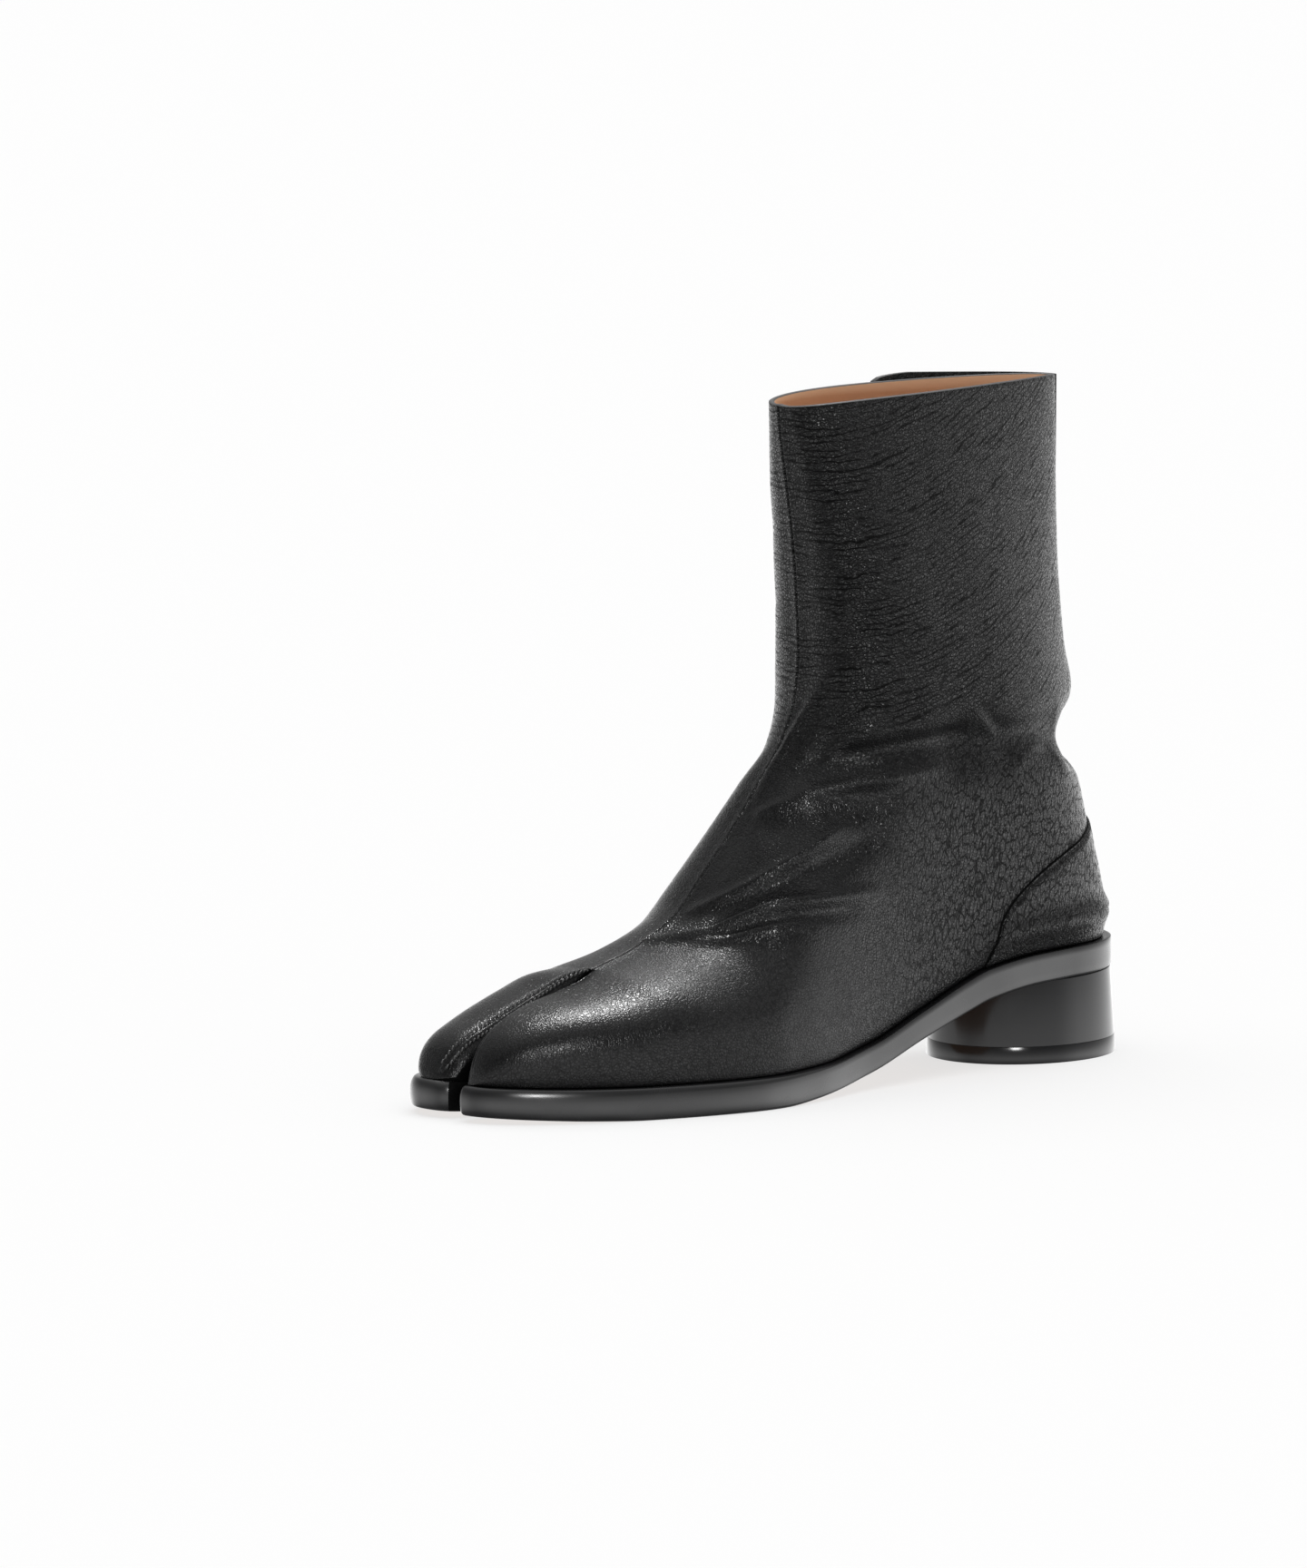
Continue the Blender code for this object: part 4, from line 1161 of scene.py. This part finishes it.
# Tan leather: light colour, dark colour, grain scale
TANS = {
    "lining_leather": ((0.9, 0.56, 0.34, 1.0), (0.82, 0.47, 0.26, 1.0), 900.0),
    "sole_leather": ((0.34, 0.2, 0.11, 1.0), (0.24, 0.13, 0.07, 1.0), 700.0),
}
TAN_NOISE = (30.0, 3.0)
TAN_ROUGHNESS = (0.3, 0.7, 0.5, 0.65)
# Edge paint: roughness, gloss; then its colours, broad noise, spread of the roughness and bump, and the
# faint layers under it
PAINTS = {"sole_edge_paint": (0.26, 0.85), "heel_edge_paint": (0.17, 0.5)}
PAINT_COLOURS = ((0.006, 0.006, 0.0065, 1.0), (0.012, 0.012, 0.013, 1.0))
PAINT_NOISE = (45.0, 3.0)
PAINT_LIMITS = (0.3, 0.7)
PAINT_SPREAD = (0.04, 0.06)
PAINT_BUMP = (0.08, 0.0001)
LAYER_STRETCH = (60.0, 60.0, 1.0)
LAYER_NOISE = (900.0, 3.0)
# Dull materials: grain scale, gloss, brightness; then the share of that in the darkest grain
DULLS = {
    "black_rubber": (900.0, 0.4, 0.008),
    "black_thread": (2500.0, 1.0, 0.05),
    # Painted shade: matte black for the split's walls and the counter's seam, where they lie in shadow
    "painted_shade_black": (1500.0, 0.02, 0.006),
    # Cut edges: grey lightened as a painted highlight of the light on the rim and the flap's top
    "cut_edge_rim_highlight": (1500.0, 0.5, 0.16),
}
DULL_DARK = 0.3
DULL_ROUGHNESS = (0.3, 0.7, 0.45, 0.6)
# Grain of tan and dull materials: detail, then strength and depth of its bump
GRAIN_DETAIL = 4.0
GRAIN_BUMP = (0.2, 0.0002)


def black_leather():
    """Black leather with fine pebbles all over, and cracks that run round the shaft and up the heel; the
    cracks and the gaps between pebbles are painted darker, with a dimmed reflection, as painted shade in
    these grooves.
    """
    shader = Shader(bpy.data.materials.new("black_leather"))
    plain = shader.places()
    loose = shader.wandering(plain, *WANDER)
    high = shader.ramp(shader.part(plain, "Z"), SHAFT_RAMP)
    rear = shader.ramp(shader.part(plain, "X"), REAR_RAMP)
    toe = shader.ramp(shader.part(plain, "X"), TOE_RAMP)
    waves = shader.wavy_lines(shader.flow(plain, WAVE_STRETCH))
    breaks = shader.noise(shader.flow(plain, BREAK_STRETCH), BREAK_SCALE, BREAK_DETAIL)
    beads = shader.ramp(shader.cells(shader.flow(loose, BEAD_STRETCH), BEAD_SCALE), BEAD_RAMP)
    shaft = shader.math("MULTIPLY", beads, shader.mix(shader.ramp(breaks, BREAK_RAMP), 1.0, waves))
    leaning = shader.drawn_out(loose, QUARTER_STRETCH, QUARTER_TURN)
    quarter = shader.ramp(shader.cells(leaning, QUARTER_SCALE), QUARTER_RAMP)
    cracks = shader.mix(high, shader.mix(rear, 1.0, quarter), shaft)
    pebble = shader.ramp(shader.cells(loose, PEBBLE_SCALE), PEBBLE_RAMP)
    fine = shader.math("MULTIPLY", shader.noise(plain, *FINE_NOISE), FINE_SHARE)
    pebbles = shader.math("ADD", shader.math("MULTIPLY", pebble, PEBBLE_SHARE), fine)
    grain = shader.math("ADD", shader.math("MULTIPLY", cracks, CRACK_SHARE),
                        shader.math("MULTIPLY", pebbles, toe))
    # Painted shade: share of the crack colour and the dimmed reflection, low in the cracks and between
    # pebbles
    lines = shader.math("MULTIPLY", cracks, shader.ramp(pebble, PEBBLE_SHADE))
    satin = 1.0
    for axis, limits in SATIN:
        satin = shader.math("MULTIPLY", shader.ramp(shader.part(plain, axis), limits), satin)
    gloss = shader.math("ADD", shader.ramp(shader.noise(plain, *BROAD_NOISE), GLOSS_RAMP), satin)
    return shader.finished({
        # Painted shade: cracks and pebble gaps darker in colour and in reflection
        "Base Color": shader.mix(lines, CRACK_SHADE_COLOUR, LEATHER_COLOUR, "RGBA"),
        "Specular Tint": shader.mix(lines, CRACK_SHADE_TINT, WHITE, "RGBA"),
        "Roughness": shader.mix(cracks, CRACK_ROUGHNESS, gloss),
        "Normal": shader.bump(grain, *LEATHER_BUMP),
    })


def tan_leather(name, light, dark, grain_scale):
    shader = Shader(bpy.data.materials.new(name))
    plain = shader.places()
    grain = shader.noise(plain, grain_scale, GRAIN_DETAIL)
    return shader.finished({
        "Base Color": shader.mix(shader.noise(plain, *TAN_NOISE), dark, light, "RGBA"),
        "Roughness": shader.ramp(grain, TAN_ROUGHNESS),
        "Normal": shader.bump(grain, *GRAIN_BUMP),
    })


def painted_edge(name, roughness, gloss):
    """Black edge dressing on leather, with faint lines along the layers."""
    shader = Shader(bpy.data.materials.new(name))
    plain = shader.places()
    lines = shader.noise(shader.drawn_out(plain, LAYER_STRETCH), *LAYER_NOISE)
    broad = shader.noise(plain, *PAINT_NOISE)
    less, more = PAINT_SPREAD
    return shader.finished({
        "Base Color": shader.mix(broad, *PAINT_COLOURS, "RGBA"),
        "Roughness": shader.ramp(broad, (*PAINT_LIMITS, roughness - less, roughness + more)),
        "Specular IOR Level": gloss,
        "Normal": shader.bump(lines, *PAINT_BUMP),
    })


def dull(name, grain_scale, gloss, level):
    """Dull grey or black with a fine grain: for rubber and thread, for painted shade where the split and
    the counter's seam lie in shadow, and for cut edges lightened as a painted highlight.
    """
    shader = Shader(bpy.data.materials.new(name))
    grain = shader.noise(shader.places(), grain_scale, GRAIN_DETAIL)
    dark = DULL_DARK * level
    return shader.finished({
        "Base Color": shader.mix(grain, (dark, dark, dark, 1.0), (level, level, level, 1.0), "RGBA"),
        "Roughness": shader.ramp(grain, DULL_ROUGHNESS),
        "Specular IOR Level": gloss,
        "Normal": shader.bump(grain, *GRAIN_BUMP),
    })


# Camera of the photograph: turn from the side of the boot, height above the horizon, in degrees;
# picture elements per millimetre; place of the heel's centre in the picture
CAMERA_TURN = 40.0
CAMERA_RISE = 8.5
PICTURE_SCALE = 3.14
HEEL_IN_PICTURE = (1124.5, 1157.5)
PICTURE_SIZE = (1440.0, 1728.0)
CAMERA_DISTANCE = 14.0
CLIP_END = 100.0
SENSOR = 36.0

# Floor: colour, roughness, glow as of a light table, half size
FLOOR_COLOUR = (0.3, 0.3, 0.3, 1.0)
FLOOR_ROUGHNESS = 0.7
FLOOR_GLOW = 0.7
FLOOR_HALF = 60.0
# Room by height of the direction: height, level
ROOM_HEIGHT = (
    (-1.0, 0.1), (-0.5, 0.3), (-0.36, 1.3), (-0.24, 2.2), (-0.1, 1.8),
    (0.05, 1.0), (0.16, 0.7), (0.36, 0.3), (0.7, 0.42), (1.0, 0.8),
)
ROOM_TOP_LEVEL = 2.2
# Range of the height of a direction, as a share
HEIGHT_RANGE = (-1.0, 1.0, 0.0, 1.0)
# Room by part of the direction to the front, and to the right: two limits, the level at each
ROOM_FRONT = (0.1, 0.6, 1.0, 0.6)
ROOM_RIGHT = (-0.9, -0.4, 0.65, 1.0)
# Lights: strength, angle across in degrees, part to the right, to the front and up, whether they
# light dull surfaces, and glossy ones
LAMPS = (
    (1.6, 70.0, 0.1, -0.1, 1.0, True, False),
    (1.7, 10.0, 0.03, -0.5, 0.88, False, True),
    (1.0, 11.0, 0.13, 0.9, 0.42, False, True),
)


def view_axes():
    """Directions towards the camera, and to the right and up in its picture."""
    turn = math.radians(CAMERA_TURN)
    rise = math.radians(CAMERA_RISE)
    toward = Vector((math.sin(turn) * math.cos(rise), math.cos(turn) * math.cos(rise), math.sin(rise)))
    right = Vector((-math.cos(turn), math.sin(turn), 0.0))
    return toward, right, toward.cross(right)


def add_camera():
    toward, right, up = view_axes()
    heel = Vector((HEEL_CENTRE - FRAME_SHIFT[0], -FRAME_SHIFT[1], 0.0)) * MM
    step = MM / PICTURE_SCALE
    target = heel + right * (0.5 * PICTURE_SIZE[0] - HEEL_IN_PICTURE[0]) * step
    target -= up * (0.5 * PICTURE_SIZE[1] - HEEL_IN_PICTURE[1]) * step
    camera = bpy.data.cameras.new("camera")
    camera.sensor_width = SENSOR
    camera.lens = SENSOR * CAMERA_DISTANCE / (PICTURE_SIZE[1] * step)
    camera.clip_end = CLIP_END
    holder = bpy.data.objects.new("camera", camera)
    holder.location = target + toward * CAMERA_DISTANCE
    holder.rotation_euler = toward.to_track_quat("Z", "Y").to_euler()
    bpy.context.scene.collection.objects.link(holder)
    bpy.context.scene.camera = holder


def add_floor():
    """A pale floor like a light table, which doesn't mirror in the boot."""
    material = Shader(bpy.data.materials.new("floor")).finished({
        "Base Color": FLOOR_COLOUR,
        "Roughness": FLOOR_ROUGHNESS,
        "Specular IOR Level": 0.0,
        "Emission Color": WHITE,
        "Emission Strength": FLOOR_GLOW,
    })
    mesh = bpy.data.meshes.new("floor")
    corners = ((-1, -1), (1, -1), (1, 1), (-1, 1))
    mesh.from_pydata([(x * FLOOR_HALF, y * FLOOR_HALF, 0.0) for x, y in corners], [], [(0, 1, 2, 3)])
    mesh.materials.append(material)
    floor = bpy.data.objects.new("floor", mesh)
    floor.visible_glossy = False
    bpy.context.scene.collection.objects.link(floor)


def add_light():
    """A room that is pale low down, dimmer in front, above and at the left, and three lights."""
    toward, right, _ = view_axes()
    flat = Vector((toward.x, toward.y, 0.0)).normalized()
    world = bpy.data.worlds.new("studio")
    bpy.context.scene.world = world
    room = Shader(world, "Background")
    direction = room.add("TexCoord", "Generated", {})

    def along(axis):
        return room.add("VectorMath", "Value", {0: direction, 1: axis}, operation="DOT_PRODUCT")

    upward = room.ramp(along((0.0, 0.0, 1.0)), HEIGHT_RANGE, "LINEAR")
    colour = room.add("ValToRGB", "Color", {"Fac": upward})
    stops = colour.node.color_ramp.elements
    for k, (height, level) in enumerate(ROOM_HEIGHT):
        place = 0.5 + 0.5 * height
        stop = stops[k] if k < 2 else stops.new(place)
        stop.position = place
        share = level / ROOM_TOP_LEVEL
        stop.color = (share, share, share, 1.0)
    levels = room.math("MULTIPLY", room.ramp(along(flat), ROOM_FRONT), room.ramp(along(right), ROOM_RIGHT))
    room.finished({"Color": colour, "Strength": room.math("MULTIPLY", levels, ROOM_TOP_LEVEL)})
    for energy, across, to_right, to_front, to_top, dull_light, glossy_light in LAMPS:
        lamp = bpy.data.lights.new("lamp", "SUN")
        lamp.energy = energy
        lamp.angle = math.radians(across)
        holder = bpy.data.objects.new("lamp", lamp)
        lean = Vector((0.0, 0.0, to_top)) + right * to_right + flat * to_front
        holder.rotation_euler = lean.to_track_quat("Z", "Y").to_euler()
        holder.visible_diffuse = dull_light
        holder.visible_glossy = glossy_light
        bpy.context.scene.collection.objects.link(holder)
    bpy.context.scene.view_settings.view_transform = "Standard"


def main():
    leather = black_leather()
    lining, sole_leather = (tan_leather(name, *values) for name, values in TANS.items())
    edge, stack = (painted_edge(name, *values) for name, values in PAINTS.items())
    # The third dull material is painted shade, the fourth the cut edge lightened as a painted highlight
    black_rubber, thread, shade, cut_edge_light = (dull(name, *values) for name, values in DULLS.items())
    creases = build_upper(leather, lining, shade, cut_edge_light)
    build_counter(leather, shade, creases)
    build_stitches(thread)
    build_flap(leather, cut_edge_light)
    build_plate("boot_outsole", "sole_edge", "outsole", (edge, sole_leather, shade), 0.0, 0.0, EDGE_ROUND,
                sole_top, sole_under)
    inset = LEDGE + TURN_IN + WALL + INSOLE_FIT
    build_plate("boot_insole", "insole_leather", "insole", (lining, lining, lining), inset,
                SLOT_LEDGE + WALL + INSOLE_FIT, INSOLE_ROUND,
                lambda x: sole_top(x) + FIT + INSOLE_THICK, lambda x: sole_top(x) + FIT)
    build_heel("boot_heel_block", "heel_stack", "heel_block", (stack, stack), (HEEL_TOP, HEEL_BASE),
               sole_under, LIFT_TOP)
    lift = tuple(size + LIFT_GROW for size in HEEL_BASE)
    build_heel("boot_heel_lift", "lift_rubber", "heel_lift", (stack, black_rubber),
               (HEEL_BASE, lift), lambda x: LIFT_TOP, 0.0)
    add_floor()
    add_light()
    add_camera()


main()
